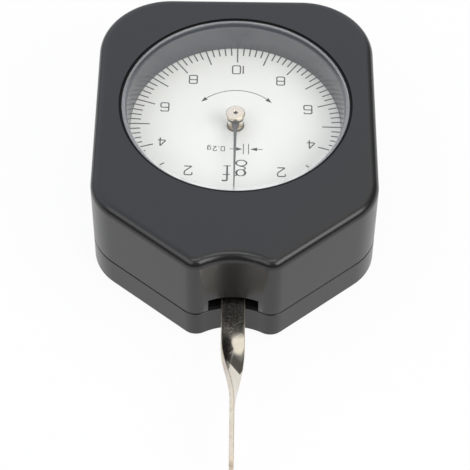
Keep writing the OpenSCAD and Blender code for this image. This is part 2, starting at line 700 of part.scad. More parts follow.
module pointer_boss() color("#c9a071") difference() {
    rotate_extrude() polygon([[0, pointer_z - boss_foot], [boss_barrel_r, pointer_z - boss_foot],
        [boss_barrel_r, flange_bottom - boss_neck_h], [boss_neck_r, flange_bottom - boss_neck_h],
        [boss_neck_r, flange_bottom], [boss_flange_r, flange_bottom],
        [boss_flange_r, pointer_boss_z - boss_chamfer], [boss_flange_r - boss_chamfer, pointer_boss_z],
        [0, pointer_boss_z]]);
    rod(pinion_pivot_r + seat_gap, pointer_z - boss_foot - over, pointer_boss_z + over);
}

upper_case();
rear_cover();
case_screws();
crystal();
crystal_gasket();
dial_plate();
dial_feet();
main_plate();
bridge_plate();
pillars();
pillar_screws();
movement_screws();
lever_bushes();
pinion_bush();
dial_bush();
stop_pins();
lever_arbor();
lever_hub();
sector_gear();
feeler_blade();
blade_rivets();
balance_weights();
balance_rivet();
spring_collet();
measuring_spring();
spring_stud();
pinion_arbor();
hairspring_collet();
hairspring();
hairspring_stud();
pointer_blade();
pointer_boss();
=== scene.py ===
"""Dial tension gauge: the finished look of the packed part.

Each operator makes one piece of the gauge, or one group of like pieces, in the place of its CAD node.
Lengths are in metres. +Z is up through the dial, and the feeler blade points along -Y.
"""

import functools
import math

import bmesh
import bpy
from mathutils import Matrix, Quaternion, Vector
from mathutils.geometry import tessellate_polygon


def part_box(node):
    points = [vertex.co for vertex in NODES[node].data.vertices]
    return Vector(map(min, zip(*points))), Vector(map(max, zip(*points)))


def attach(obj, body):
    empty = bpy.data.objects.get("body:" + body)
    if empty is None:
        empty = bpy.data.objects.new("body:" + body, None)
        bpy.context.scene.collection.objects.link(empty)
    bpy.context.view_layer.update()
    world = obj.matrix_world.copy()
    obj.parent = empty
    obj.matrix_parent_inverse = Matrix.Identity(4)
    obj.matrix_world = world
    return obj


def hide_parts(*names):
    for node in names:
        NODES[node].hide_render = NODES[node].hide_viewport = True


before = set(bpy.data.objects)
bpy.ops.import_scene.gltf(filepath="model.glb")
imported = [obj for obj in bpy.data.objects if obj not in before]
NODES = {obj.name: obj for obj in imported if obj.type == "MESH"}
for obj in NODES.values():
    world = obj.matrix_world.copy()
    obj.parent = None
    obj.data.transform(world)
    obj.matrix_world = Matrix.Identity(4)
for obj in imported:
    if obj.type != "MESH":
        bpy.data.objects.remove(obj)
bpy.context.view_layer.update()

bl_info = {
    "name": "Dial tension gauge",
    "version": (1, 0, 0),
    "blender": (4, 5, 0),
    "location": "View3D > Sidebar > Gauge",
    "description": "Dresses the packed gauge: shells, window, printed dial, pointer, blade and movement",
    "category": "Object",
}

MM = 0.001
QUARTER = math.pi / 2
FULL_TURN = 2 * math.pi
WHITE = (1, 1, 1, 1)
BLACK = (0, 0, 0, 1)

# Places that the CAD nodes give
CASE_LOW, CASE_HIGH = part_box("upper_case")
HALF_W = CASE_HIGH.x
BACK_REACH = CASE_HIGH.y
CASE_TOP = CASE_HIGH.z
PARTING = CASE_LOW.z
CRYSTAL_LOW, CRYSTAL_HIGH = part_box("crystal")
GASKET_LOW, GASKET_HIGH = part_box("crystal_gasket")
DIAL_LOW, DIAL_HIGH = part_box("dial_plate")
BUSH_LOW, BUSH_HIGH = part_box("dial_bush")
POINTER_LOW, POINTER_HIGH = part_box("pointer_blade")
BOSS_LOW, BOSS_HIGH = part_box("pointer_boss")
BLADE_LOW, BLADE_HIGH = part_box("feeler_blade")


# Settings

def setting(kind, **options):
    """A maker of settings of one kind, each with its own name, description and default."""
    def made(name, description, default):
        return kind(name=name, description=description, default=default, **options)
    return made


# Sizes and points in metres, shares from nothing to all, amounts, counts of like things, colours as the
# linear values that a shader takes, directions, and focal lengths
length = setting(bpy.props.FloatProperty, min=0, precision=5, unit="LENGTH")
position = setting(bpy.props.FloatVectorProperty, size=3, precision=5, subtype="XYZ", unit="LENGTH")
share = setting(bpy.props.FloatProperty, min=0, max=1, subtype="FACTOR")
amount = setting(bpy.props.FloatProperty, min=0)
number = setting(bpy.props.IntProperty, min=1)
colour = setting(bpy.props.FloatVectorProperty, size=3, min=0, max=1, subtype="COLOR")
direction = setting(bpy.props.FloatVectorProperty, size=3, subtype="DIRECTION")
focal_length = setting(bpy.props.FloatProperty, min=1, unit="CAMERA")


def turn(name, description, degrees):
    """An angle, given in degrees."""
    made = setting(bpy.props.FloatProperty, subtype="ANGLE", unit="ROTATION")
    return made(name, description, math.radians(degrees))


class CaseSettings(bpy.types.PropertyGroup):
    """The two shells"""
    shoulder_reach: length("Shoulder reach", "Pointer axis to where side and slanted wall would meet", 0.0271)
    slant: turn("Slant", "Slope of the slanted walls, from straight across", 38.75)
    scallop_reach: length("Hollow reach", "Pointer axis to the bottom of the hollow in the nose", 0.042)
    scallop_r: length("Hollow radius", "Radius of the hollow in the nose", 0.013)
    back_corner_r: length("Back corner radius", "Radius of the back corners", 0.0156)
    shoulder_r: length("Shoulder radius", "Radius of the shoulders", 0.0114)
    nose_r: length("Nose radius", "Radius of the two corners of the nose", 0.0035)
    least_nose_r: length("Least nose radius", "Smallest radius left on the inside of the nose", 0.0003)
    edge_r: length("Top edge radius", "Radius of the rounded top edge", 0.002)
    cover_edge_r: length("Rear edge radius", "Radius of the rounded edge of the rear shell", 0.0006)
    wall: length("Wall", "Thickness of the side walls", 0.002)
    floor_t: length("Floor", "Thickness of the top and of the rear floor", 0.002)
    slot_w: length("Slot width", "Width of the slot that the blade leaves by", 0.0103)
    slot_h: length("Slot height", "Height of that slot above the parting line", 0.0033)
    bore_r: length("Bore radius", "Radius of the bore round the crystal", 0.025)
    chamber_foot_r: length("Chamber foot", "Radius of the chamber at the dial", 0.0227)
    chamber_top_r: length("Chamber top", "Radius of the chamber at the crystal", 0.0234)
    skirt_t: length("Skirt", "Thickness of the skirt wall outside the bore", 0.0009)
    skirt_gap: length("Skirt gap", "Dial to the bottom of the skirt", 0.0001)
    groove: length("Groove", "Height of the groove along the parting line", 0.0003)
    groove_depth: length("Groove depth", "Depth of that groove", 0.0006)
    break_edge: length("Broken edge", "Width of the small break on sharp edges", 0.0001)
    colour: colour("Case colour", "Black finish of the shells", (0.0146, 0.0146, 0.015))
    chamber_colour: colour("Chamber colour", "Wall of the chamber round the dial", (0.042, 0.049, 0.055))


class WindowSettings(bpy.types.PropertyGroup):
    """The crystal and its gasket"""
    bevel: length("Bevel", "Width of the crystal's bevel", 0.0007)
    bevel_h: length("Bevel depth", "Depth of the crystal's bevel", 0.00015)
    edge: length("Edge", "Small break at the crystal's foot", 0.00008)
    # The ground edge is greyer than the bevel: painted shade on the crystal's edge
    edge_shade: share("Edge shade", "Share of light that the crystal's ground edge lets past", 0.35)
    seat_gap: length("Seat gap", "Crystal to the gasket and to its ledge", 0.00003)
    gasket_lip: length("Gasket lip", "Height of the gasket's lip above its CAD solid", 0.00065)
    gasket_round: length("Gasket rounding", "Rounding of the gasket's top", 0.00008)
    gasket_colour: colour("Gasket colour", "Rubber of the gasket", (0.006, 0.006, 0.007))


class DialSettings(bpy.types.PropertyGroup):
    """The dial and what is printed on it"""
    hole_r: length("Hole radius", "Radius of the dial's hole", 0.00185)
    tick_w: length("Tick width", "Width of a division mark", 0.00028)
    tick_outer: length("Tick end", "Radius of the outer ends of the marks", 0.024)
    tick_short: length("Short tick", "Radius of the inner ends of the short marks", 0.0207)
    tick_long: length("Long tick", "Radius of the inner ends of the long marks", 0.01865)
    divisions: number("Divisions", "Marks round the dial", 100)
    per_long: number("Marks to a long one", "Marks from one long mark to the next", 5)
    number_r: length("Number radius", "Radius of the middles of the numbers", 0.0164)
    number_w: length("Number width", "Width of a digit, between the middles of its strokes", 0.00172)
    number_h: length("Number height", "Height of a digit, between the middles of its strokes", 0.0024)
    number_stroke: length("Number stroke", "Width of the strokes of the numbers", 0.00027)
    mark_stroke: length("Mark stroke", "Width of the strokes of the small marks", 0.00017)
    print_turn: turn("Print turn", "Turn of the print and the pointer from straight", -0.55)
    print_shift: length("Print shift", "Shift of the print to the right", 0.0001)
    print_h: length("Print height", "Height of the print above the dial", 0.000012)
    print_sink: length("Print depth", "Depth of the print in the dial", 0.00002)
    colour: colour("Dial colour", "Enamel of the dial", (0.93, 0.935, 0.88))
    ink: colour("Ink colour", "Ink of the print", (0.045, 0.046, 0.048))


class PointerSettings(bpy.types.PropertyGroup):
    """The pointer and its boss"""
    root_half: length("Root half width", "Half the width of the blade at its root", 0.00079)
    neck_half: length("Neck half width", "Half the width of the blade past its root", 0.00035)
    tip_half: length("Tip half width", "Half the width of the blade at its tip", 0.0001)
    disc_r: length("Disc radius", "Radius of the blade's round root", 0.0019)
    bulb_reach: length("Bulb reach", "Pointer axis to the end of the wide root", 0.0036)
    edge: length("Edge", "Small break along the blade's edges", 0.00006)
    boss_barrel_r: length("Barrel radius", "Radius of the boss's barrel", 0.0012)
    boss_flange_h: length("Flange height", "Height of the boss's flange", 0.0007)
    boss_neck_r: length("Neck radius", "Radius of the boss between its flange and the blade", 0.0015)
    boss_hole_r: length("Hole radius", "Radius of the hole in the boss", 0.00043)
    boss_round: length("Boss rounding", "Rounding of the boss's top edge", 0.00034)
    colour: colour("Pointer colour", "Lacquer of the pointer", (0.1, 0.1, 0.098))
    boss_colour: colour("Boss colour", "Metal of the boss", (0.845, 0.75, 0.61))
    bush_colour: colour("Bush colour", "Metal of the bush under the pointer", (0.86, 0.78, 0.6))
    # The bush's rim is darker as painted shade, which stands for the shadow round the bush's edge
    rim_painted_shade_colour: colour("Bush rim", "Darkened rim of that bush", (0.3, 0.27, 0.19))


class BladeSettings(bpy.types.PropertyGroup):
    """The feeler blade"""
    width: length("Width", "Width of the blade", 0.0049)
    thickness: length("Thickness", "Thickness of the blade", 0.001)
    twist_start: length("Twist start", "Pointer axis to the start of the quarter twist", 0.0495)
    twist_l: length("Twist length", "Length of the quarter twist", 0.0185)
    tip_r: length("Tip radius", "Radius of the corners of the tip", 0.0016)
    edge_r: length("Edge radius", "Rounding of the blade's long edges", 0.00018)
    pitted_to: length("Pitted to", "Pointer axis to where the pitted root gives way to polish", 0.0518)
    pitted_fade: length("Pitted fade", "Length over which the pits fade out", 0.002)
    colour: colour("Blade colour", "Plated finish of the blade", (0.76, 0.715, 0.635))
    edge_colour: colour("Edge colour", "Finish of the blade's cut edges", (0.82, 0.735, 0.61))


class MetalSettings(bpy.types.PropertyGroup):
    """Finishes of the movement and the screws"""
    brass: colour("Brass", "Plates, pillars, wheels and weights", (0.62, 0.44, 0.17))
    screw_steel: colour("Screw steel", "Heads of the screws", (0.36, 0.365, 0.37))
    arbor_steel: colour("Arbor steel", "Arbors, pins, rivets and studs", (0.12, 0.12, 0.125))
    spring_blue: colour("Spring blue", "Tempered springs", (0.05, 0.075, 0.16))
    spring_straw: colour("Spring straw", "Places where the temper has run to straw", (0.17, 0.1, 0.07))
    screw_break: length("Screw edge", "Small break on the edges of the case screws", 0.00008)


class StageSettings(bpy.types.PropertyGroup):
    """Floor, light and camera"""
    floor_colour: colour("Floor", "Colour of the floor", (0.93, 0.93, 0.93))
    floor_glow: share("Floor glow", "Share of plain white that the camera sees in the floor", 0.93)
    mirror_glow: share("Mirrored glow", "Share of plain white that mirrors and glass see in the floor", 0.7)
    floor_r: length("Floor radius", "Radius of the floor", 0.4)
    floor_drop: length("Floor drop", "Gauge's rear face to the floor", 0.00002)
    panel: share("Panel", "Level of the bright panel behind the gauge", 1.0)
    panel_turn: turn("Panel turn", "Turn of that panel to the left", 30)
    panel_tint: colour("Panel tint", "Tint of that panel", (0.84, 0.885, 1.0))
    strength: amount("Strength", "Strength of the light where its level is full", 1.1)
    glow: share("Glow", "Level of the round glow above that panel", 0.95)
    glow_tint: colour("Glow tint", "Tint of that glow", (1.0, 0.97, 0.9))
    glow_way: direction("Glow way", "Way to that glow", (0.3, 0.42, 0.857))
    sky: share("Sky", "Level of the light from high on all other sides", 0.4)
    horizon: share("Horizon", "Level of the light from low on those sides", 0.1)
    front: share("Front", "Share of that light that comes from round the camera", 0.55)
    eye: position("Eye", "Place of the camera", (0.00039, -0.27869, 0.33089))
    aim: position("Aim", "Point that the camera looks at", (0.0002, -0.03631, 0.0243))
    roll: turn("Roll", "Turn of the camera about its own line of sight", 0.645)
    lens: focal_length("Lens", "Focal length in millimetres, on a frame 36 mm wide", 147.91)


# Shader maths

class Value:
    """A number, colour or vector in a shader. Python's own signs between numbers add Math nodes."""

    def __init__(self, finish, socket):
        self.finish = finish
        self.socket = socket

    def math(self, operation, first, second):
        """A Math node between two numbers."""
        return self.finish.node("ShaderNodeMath", {"operation": operation}, {0: first, 1: second})

    def __add__(self, other):
        return self.math("ADD", self, other)

    def __sub__(self, other):
        return self.math("SUBTRACT", self, other)

    def __rsub__(self, other):
        return self.math("SUBTRACT", other, self)

    def __mul__(self, other):
        return self.math("MULTIPLY", self, other)

    def __truediv__(self, other):
        return self.math("DIVIDE", self, other)

    def __pow__(self, other):
        return self.math("POWER", self, other)

    __radd__ = __add__
    __rmul__ = __mul__

    def most(self, other):
        """The greater of two numbers."""
        return self.math("MAXIMUM", self, other)

    def beside(self, name):
        """Another output of the node that this value comes from."""
        return Value(self.finish, self.socket.node.outputs[name])


def shaded(rgb, factor=1.0):
    """A colour made lighter or darker, with its alpha."""
    return tuple(min(1.0, c * factor) for c in rgb) + (1.0,)


class Finish:
    """The nodes of one material, or of the world."""

    def __init__(self, tree):
        self.tree = tree
        tree.nodes.clear()

    @staticmethod
    def socket(sockets, key):
        """A socket by its number, its identifier or its name."""
        if isinstance(key, int):
            return sockets[key]
        for found in sockets:
            if found.identifier == key or (found.name == key and found.enabled):
                return found
        raise KeyError(f"no socket {key}")

    def node(self, kind, settings=None, sockets=None, out=0):
        """Adds a node, with its settings first and then its sockets, and returns one of its outputs."""
        made = self.tree.nodes.new(kind)
        for name, value in (settings or {}).items():
            if name == "stops":
                self.set_stops(made.color_ramp.elements, value)
            else:
                setattr(made, name, value)
        for name, value in (sockets or {}).items():
            socket = self.socket(made.inputs, name)
            if isinstance(value, Value):
                self.tree.links.new(value.socket, socket)
            else:
                socket.default_value = value
        return Value(self, self.socket(made.outputs, out)) if made.outputs else None

    @staticmethod
    def set_stops(elements, stops):
        """Gives a new ramp, which has two stops, its places and greys."""
        for place, _ in stops[2:]:
            elements.new(place)
        for element, (place, grey) in zip(elements, stops):
            element.position = place
            element.color = (grey, grey, grey, 1)

    def place(self, stretch=None):
        """Where a point lies on its piece, drawn out along each axis where stretch is given."""
        spot = self.node("ShaderNodeTexCoord", out="Object")
        if stretch is None:
            return spot
        return self.node("ShaderNodeVectorMath", {"operation": "MULTIPLY"}, {0: spot, 1: stretch})

    def along(self, axis):
        """How far along an axis a point lies."""
        return self.node("ShaderNodeSeparateXYZ", None, {"Vector": self.place()}, axis)

    def noise(self, size, detail, stretch=None):
        """Soft noise with features of about this size."""
        sockets = {"Vector": self.place(stretch), "Scale": 1 / size, "Detail": detail}
        return self.node("ShaderNodeTexNoise", None, sockets, "Fac")

    def steps(self, value, *stops):
        """A value sent through a ramp of grey stops."""
        return self.node("ShaderNodeValToRGB", {"stops": stops}, {"Fac": value})

    def mix(self, factor, first, second):
        """A colour between two colours."""
        sockets = {"Factor_Float": factor, "A_Color": first, "B_Color": second}
        return self.node("ShaderNodeMix", {"data_type": "RGBA"}, sockets, "Result_Color")

    def tones(self, factor, rgb, dark, light):
        """A colour between a darker and a lighter tone of one colour."""
        return self.mix(factor, shaded(rgb, dark), shaded(rgb, light))

    def bump(self, height, depth, strength):
        """A normal from a height of 0 to 1 and the depth that 1 stands for."""
        sockets = {"Strength": strength, "Distance": depth, "Height": height}
        return self.node("ShaderNodeBump", None, sockets, "Normal")

    def principled(self, sockets):
        """Ends the nodes of a material in a Principled shader."""
        shader = self.node("ShaderNodeBsdfPrincipled", None, sockets, "BSDF")
        self.node("ShaderNodeOutputMaterial", None, {"Surface": shader})


def material(draw):
    """Turns a function that draws a finish into one that gives its material, which is drawn only once.

    The material has the function's name, unless it is given another."""
    @functools.wraps(draw)
    def given(*settings, name=draw.__name__, **numbers):
        made = bpy.data.materials.get(name)
        if made is None:
            made = bpy.data.materials.new(name)
            made.use_nodes = True
            draw(Finish(made.node_tree), *settings, **numbers)
        return made
    return given


# Finishes

CASE_IOR = 1.55
CHAMBER_IOR = 1.8
CRYSTAL_IOR = 1.49
# Length of the blade's end whose cut edges are dull, and the length over which that fades
DULL_END = 3 * MM
DULL_FADE = 2 * MM


@material
def case_black(f, case):
    """Fine black finish with a low sheen and a trace of handling."""
    grain = f.noise(0.16 * MM, detail=3)
    cloud = f.noise(9 * MM, detail=4)
    f.principled({
        "Base Color": f.tones(0.65 * grain + 0.35 * cloud, case.colour, dark=0.72, light=1.28),
        "Roughness": 0.2 + 0.06 * grain + 0.05 * cloud,
        "Normal": f.bump(grain, depth=0.002 * MM, strength=0.4),
        "IOR": CASE_IOR,
    })


@material
def chamber_gloss(f, case):
    """Smooth mould finish of the chamber wall, which mirrors the dial."""
    cloud = f.noise(4 * MM, detail=3)
    f.principled({
        "Base Color": f.tones(cloud, case.chamber_colour, dark=0.9, light=1.1),
        "Roughness": 0.17 + 0.05 * cloud,
        "IOR": CHAMBER_IOR,
    })


@material
def clear_glass(f):
    """Clear window crystal."""
    f.principled({"Base Color": WHITE, "Roughness": 0.0, "IOR": CRYSTAL_IOR, "Transmission Weight": 1.0})


@material
def ground_glass(f, shade):
    """Finely ground glass of the crystal's bevel or edge. A shade below 1 greys it, which on the edge is
    painted shade.
    """
    grit = f.noise(0.05 * MM, detail=2)
    f.principled({
        "Base Color": (shade, shade, shade, 1),
        "Roughness": 0.2 + 0.1 * grit,
        "IOR": CRYSTAL_IOR,
        "Transmission Weight": 0.86,
    })


@material
def gasket_rubber(f, window):
    """Black rubber with a dusty grain."""
    dust = f.noise(0.12 * MM, detail=3)
    f.principled({
        "Base Color": f.tones(dust, window.gasket_colour, dark=0.7, light=1.5),
        "Roughness": 0.6 + 0.25 * dust,
        "Specular IOR Level": 0.2,
        "Normal": f.bump(dust, depth=0.01 * MM, strength=0.5),
    })


@material
def dial_enamel(f, dial):
    """Off-white enamel with a faint unevenness."""
    cloud = f.noise(6 * MM, detail=3)
    peel = f.noise(0.45 * MM, detail=2)
    f.principled({
        "Base Color": f.tones(cloud, dial.colour, dark=0.975, light=1.02),
        "Roughness": 0.42 + 0.12 * peel,
        "Normal": f.bump(peel, depth=0.002 * MM, strength=0.4),
    })


@material
def printing_ink(f, dial):
    """Matt dark ink, thin in places."""
    thin = f.noise(0.3 * MM, detail=3)
    f.principled({
        "Base Color": f.tones(thin, dial.ink, dark=0.8, light=1.5),
        "Roughness": 0.5 + 0.2 * thin,
    })


@material
def pointer_lacquer(f, pointer):
    """Satin black lacquer on the pointer."""
    grain = f.noise(0.2 * MM, detail=3)
    f.principled({
        "Base Color": f.tones(grain, pointer.colour, dark=0.7, light=1.5),
        "Roughness": 0.3 + 0.15 * grain,
        "Normal": f.bump(grain, depth=0.003 * MM, strength=0.4),
    })


@material
def turned_metal(f, rgb, groove, roughness):
    """Metal turned on a lathe, with fine rings about the pointer's axis."""
    x = f.along("X")
    y = x.beside("Y")
    radius = (x * x + y * y) ** 0.5
    rings = f.node("ShaderNodeTexNoise", {"noise_dimensions": "1D"},
                   {"W": radius, "Scale": 1 / groove, "Detail": 2.0}, "Fac")
    tarnish = f.noise(0.9 * MM, detail=3)
    f.principled({
        "Base Color": f.tones(tarnish * 0.7 + rings * 0.3, rgb, dark=0.82, light=1.14),
        "Metallic": 1.0,
        "Roughness": roughness + 0.12 * rings + 0.06 * tarnish,
        "Normal": f.bump(rings, depth=0.002 * MM, strength=0.5),
    })


@material
def brushed_metal(f, rgb, grain, stretch, roughness):
    """Metal brushed along one direction, with fine darker specks."""
    lines = f.noise(grain, detail=3, stretch=stretch)
    specks = f.noise(grain * 1.6, detail=4)
    cloud = f.noise(3 * MM, detail=3)
    f.principled({
        "Base Color": f.tones(lines * 0.35 + specks * 0.25 + cloud * 0.4, rgb, dark=0.7, light=1.3),
        "Metallic": 1.0,
        "Roughness": roughness + 0.16 * lines + 0.08 * cloud,
        "Normal": f.bump(lines * 0.7 + specks * 0.3, depth=0.004 * MM, strength=0.5),
    })


def screw_steel(metal):
    """Brushed steel of all the screws."""
    return brushed_metal(metal.screw_steel, grain=0.1 * MM, stretch=(1, 0.15, 1), roughness=0.25,
                         name="screw_steel")


@material
def polished_nickel(f, blade):
    """Bright plating, mirror-like past the root, where it is finely pitted."""
    root = f.steps((f.along("Y") + blade.pitted_to) / blade.pitted_fade, (0.0, 0.0), (1.0, 1.0))
    pits = f.noise(0.5 * MM, detail=4)
    drawn = f.noise(0.1 * MM, detail=2, stretch=(1, 0.04, 1))
    cloud = f.noise(2.5 * MM, detail=3)
    dark = root * f.steps(pits, (0.3, 0.75), (0.55, 1.0))
    glint = root * f.steps(f.noise(0.38 * MM, detail=3), (0.46, 0.0), (0.64, 0.72))
    pitted = f.mix(dark, f.tones(cloud, blade.colour, dark=0.92, light=1.06), shaded(blade.colour, 0.32))
    f.principled({
        "Base Color": f.mix(glint, pitted, shaded(blade.colour, 1.15)),
        "Metallic": 1.0,
        "Roughness": 0.06 + 0.05 * drawn + 0.04 * cloud + 0.16 * root,
        "Normal": f.bump(pits * root + 0.06 * drawn, depth=0.02 * MM, strength=0.6),
    })


@material
def sheared_edge(f, blade):
    """The blade's cut edges: the same plating over a coarse grain, duller at the blade's end."""
    end = f.steps((BLADE_LOW.y + DULL_END - f.along("Y")) / DULL_FADE, (0.0, 0.0), (1.0, 1.0))
    tears = f.noise(0.55 * MM, detail=4, stretch=(1, 0.6, 1))
    f.principled({
        "Base Color": f.tones(tears, blade.edge_colour, dark=0.72, light=1.22),
        "Metallic": 1.0,
        "Roughness": 0.36 + 0.14 * tears + 0.3 * end,
        "Normal": f.bump(tears, depth=0.012 * MM, strength=0.6),
    })


@material
def spring_temper(f, metal):
    """Blue temper colour that drifts along the strip."""
    drift = f.steps(f.noise(1.6 * MM, detail=3), (0.45, 0.0), (0.75, 1.0))
    lines = f.noise(0.08 * MM, detail=2, stretch=(1, 1, 6))
    f.principled({
        "Base Color": f.mix(drift, shaded(metal.spring_blue), shaded(metal.spring_straw)),
        "Metallic": 1.0,
        "Roughness": 0.22 + 0.16 * lines,
        "Normal": f.bump(lines, depth=0.002 * MM, strength=0.4),
    })


@material
def studio_floor(f, stage):
    """Pale floor whose white the camera, metal and glass see, and which keeps the gauge's shadow."""
    seen = f.node("ShaderNodeLightPath", out="Is Camera Ray")
    mirrored = seen.beside("Is Glossy Ray").most(seen.beside("Is Transmission Ray"))
    tone = f.tones(f.noise(0.4, detail=2), stage.floor_colour, dark=0.985, light=1.0)
    ground = f.node("ShaderNodeBsdfDiffuse", None, {"Color": tone}, "BSDF")
    glow = f.node("ShaderNodeEmission", None, {"Color": WHITE, "Strength": 1.0}, "Emission")
    plain = seen * stage.floor_glow + mirrored * stage.mirror_glow
    both = f.node("ShaderNodeMixShader", None, {0: plain, 1: ground, 2: glow}, "Shader")
    f.node("ShaderNodeOutputMaterial", None, {"Surface": both})


# Meshes

# Steps round a large turned piece and round a small one
ROUND_STEPS = 192
SMALL_ROUND_STEPS = 96
# Radius below which a point of a turned profile lies on the axis
ON_AXIS = 1e-9
# The turn past which an edge is sharp enough to be broken, the steps of the break, and how close the points
# of a CAD mesh lie that are joined before it
SHARP_TURN = math.radians(35)
BREAK_STEPS = 2
WELD_REACH = 0.002 * MM


def spread(start, end, steps):
    """Evenly spaced numbers from start to end, both included."""
    return [start + (end - start) * i / steps for i in range(steps + 1)]


def round_angles(steps):
    """Evenly spaced angles once round."""
    return spread(0, FULL_TURN, steps)[:-1]


def polar(radius, angle):
    """A point of the plane by its radius and angle."""
    return Vector((radius * math.cos(angle), radius * math.sin(angle)))


def arc(centre, radius, start, end, steps):
    """Points along an arc, from one angle to another."""
    return [Vector(centre) + polar(radius, a) for a in spread(start, end, steps)]


def at_height(points, z):
    """Points of the plane, lifted to a height."""
    return [Vector((p[0], p[1], z)) for p in points]


def put(name, data):
    """Puts an object into the scene."""
    made = bpy.data.objects.new(name, data)
    bpy.context.scene.collection.objects.link(made)
    return made


def put_mesh(name, bm, materials):
    """Puts a mesh into the scene, with its materials."""
    mesh = bpy.data.meshes.new(name)
    bm.to_mesh(mesh)
    bm.free()
    for finish in materials:
        mesh.materials.append(finish)
    return put(name, mesh)


def piece(name, bm, body, materials, replaced=()):
    """Makes an object from a mesh, rides it on its body and hides the CAD nodes that it stands for."""
    bmesh.ops.recalc_face_normals(bm, faces=bm.faces)
    made = put_mesh(name, bm, materials)
    made.data.shade_smooth()
    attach(made, body)
    if replaced:
        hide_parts(*replaced)
    return made


def hold_edges(made, degrees=30):
    """Keeps the edges that turn by more than this hard, and the flats true."""
    made.data.set_sharp_from_angle(angle=math.radians(degrees))
    made.modifiers.new("flats", "WEIGHTED_NORMAL").keep_sharp = True


def break_edges(made, width, weld=False):
    """Breaks the sharp edges by a small round, and keeps the flats true."""
    if weld:
        made.modifiers.new("weld", "WELD").merge_threshold = WELD_REACH
    broken = made.modifiers.new("broken_edges", "BEVEL")
    broken.limit_method = "ANGLE"
    broken.angle_limit = SHARP_TURN
    broken.width = width
    broken.segments = BREAK_STEPS
    broken.use_clamp_overlap = weld
    made.modifiers.new("flats", "WEIGHTED_NORMAL")


def skin(bm, rings, closed=False, left_out=None, painted=None):
    """Quads between rings of the same count of points, whose vertices it returns.

    left_out and painted take the number of a ring and of a point: painted quads have finish 1."""
    rows = [[bm.verts.new(p) for p in ring] for ring in rings]
    count = len(rings[0])
    last = len(rows) if closed else len(rows) - 1
    for i in range(last):
        lower, upper = rows[i], rows[(i + 1) % len(rows)]
        for j in range(count):
            if left_out is None or not left_out(i, j):
                k = (j + 1) % count
                face = bm.faces.new((lower[j], lower[k], upper[k], upper[j]))
                face.material_index = 1 if painted and painted(i, j) else 0
    return rows


def fill(bm, *loops):
    """A flat face inside the first loop of vertices, with the other loops as holes in it."""
    flat = [v for loop in loops for v in loop]
    for triangle in tessellate_polygon([[v.co for v in loop] for loop in loops]):
        bm.faces.new([flat[i] for i in triangle])


def lathe(profile, steps, closed=False, finishes=None):
    """A mesh turned about the pointer's axis from (radius, height) points.

    finishes gives the number of a stretch of the profile its finish, where that isn't the first."""
    bm = bmesh.new()
    angles = round_angles(steps)
    columns = []
    for radius, z in profile:
        if radius < ON_AXIS:
            columns.append([bm.verts.new((0, 0, z))] * steps)
        else:
            columns.append([bm.verts.new((*polar(radius, a), z)) for a in angles])
    last = len(profile) if closed else len(profile) - 1
    for i in range(last):
        lower, upper = columns[i], columns[(i + 1) % len(profile)]
        for j in range(steps):
            k = (j + 1) % steps
            corners = dict.fromkeys((lower[j], lower[k], upper[k], upper[j]))
            bm.faces.new(list(corners)).material_index = (finishes or {}).get(i, 0)
    return bm


# Numbers of the stretches of a flat ring's profile at its outer wall and at the break above that
RING_WALL, RING_BREAK = 1, 2


def ring_profile(hole, outer, foot, top, small):
    """Profile of a flat ring with a small break on both edges of its top."""
    return [(hole, foot), (outer, foot), (outer, top - small), (outer - small, top), (hole + small, top),
            (hole, top - small)]


# The shells

# Steps along half the outline: across the slot, along the hollow, round the nose, up the slanted wall,
# round the shoulder, along the side, round the back corner and along the back
SLOT_STEPS = 8
HOLLOW_STEPS = 8
NOSE_STEPS = 8
SLANT_STEPS = 14
SHOULDER_STEPS = 12
SIDE_STEPS = 28
CORNER_STEPS = 20
BACK_STEPS = 10
# Steps round the section of the top edge, round that of the rear edge, and round a screw's hole
EDGE_STEPS = 8
REAR_EDGE_STEPS = 5
HOLE_STEPS = 40
# Flat margin inside the rounded top edge, and how little two angles may differ
TOP_MARGIN = 0.3 * MM
SAME_ANGLE = 1e-6
# Holes for the case screws: gap round a head, radius for a shank, and depth for a head
HEAD_GAP = 0.1 * MM
SHANK_R = 1.13 * MM
HEAD_DEPTH = 1.7 * MM


def nose_corner(case, inset):
    """Centre and radius of a nose corner, which touches the slanted wall and the hollow."""
    radius = max(case.nose_r - inset, case.least_nose_r)
    hollow = Vector((0, -case.scallop_reach - case.scallop_r))
    outward = polar(1, case.slant - QUARTER)
    along = polar(1, case.slant)
    start = Vector((HALF_W, -case.shoulder_reach)) - (inset + radius) * outward - hollow
    reach = case.scallop_r + inset + radius
    b = start.dot(along)
    root = math.sqrt(b * b - start.length_squared + reach * reach)
    run = -b - root if start.x + (-b - root) * along.x > 0 else -b + root
    return hollow + start + run * along, radius


def half_outline(case, inset):
    """Half the case's outline, from the middle of the hollow to the middle of the back, drawn in by inset."""
    hollow = Vector((0, -case.scallop_reach - case.scallop_r))
    hollow_r = case.scallop_r + inset
    slot_side = math.acos(case.slot_w / 2 / hollow_r)
    nose, nose_r = nose_corner(case, inset)
    meet = math.atan2(nose.y - hollow.y, nose.x - hollow.x)
    facing = case.slant - QUARTER
    tangent = case.shoulder_r * math.tan((QUARTER - case.slant) / 2)
    shoulder = Vector((HALF_W - case.shoulder_r, tangent - case.shoulder_reach))
    back = Vector((HALF_W - case.back_corner_r, BACK_REACH - case.back_corner_r))
    points = arc(hollow, hollow_r, QUARTER, slot_side, SLOT_STEPS)
    points += arc(hollow, hollow_r, slot_side, meet, HOLLOW_STEPS)[1:]
    points += arc(nose, nose_r, meet - math.pi, facing, NOSE_STEPS)[1:]
    rounds = [(SLANT_STEPS, arc(shoulder, case.shoulder_r - inset, facing, 0, SHOULDER_STEPS)),
              (SIDE_STEPS, arc(back, case.back_corner_r - inset, 0, QUARTER, CORNER_STEPS)),
              (BACK_STEPS, [Vector((0, BACK_REACH - inset))])]
    for between, run in rounds:
        points += [points[-1].lerp(run[0], i / between) for i in range(1, between)] + run
    return points


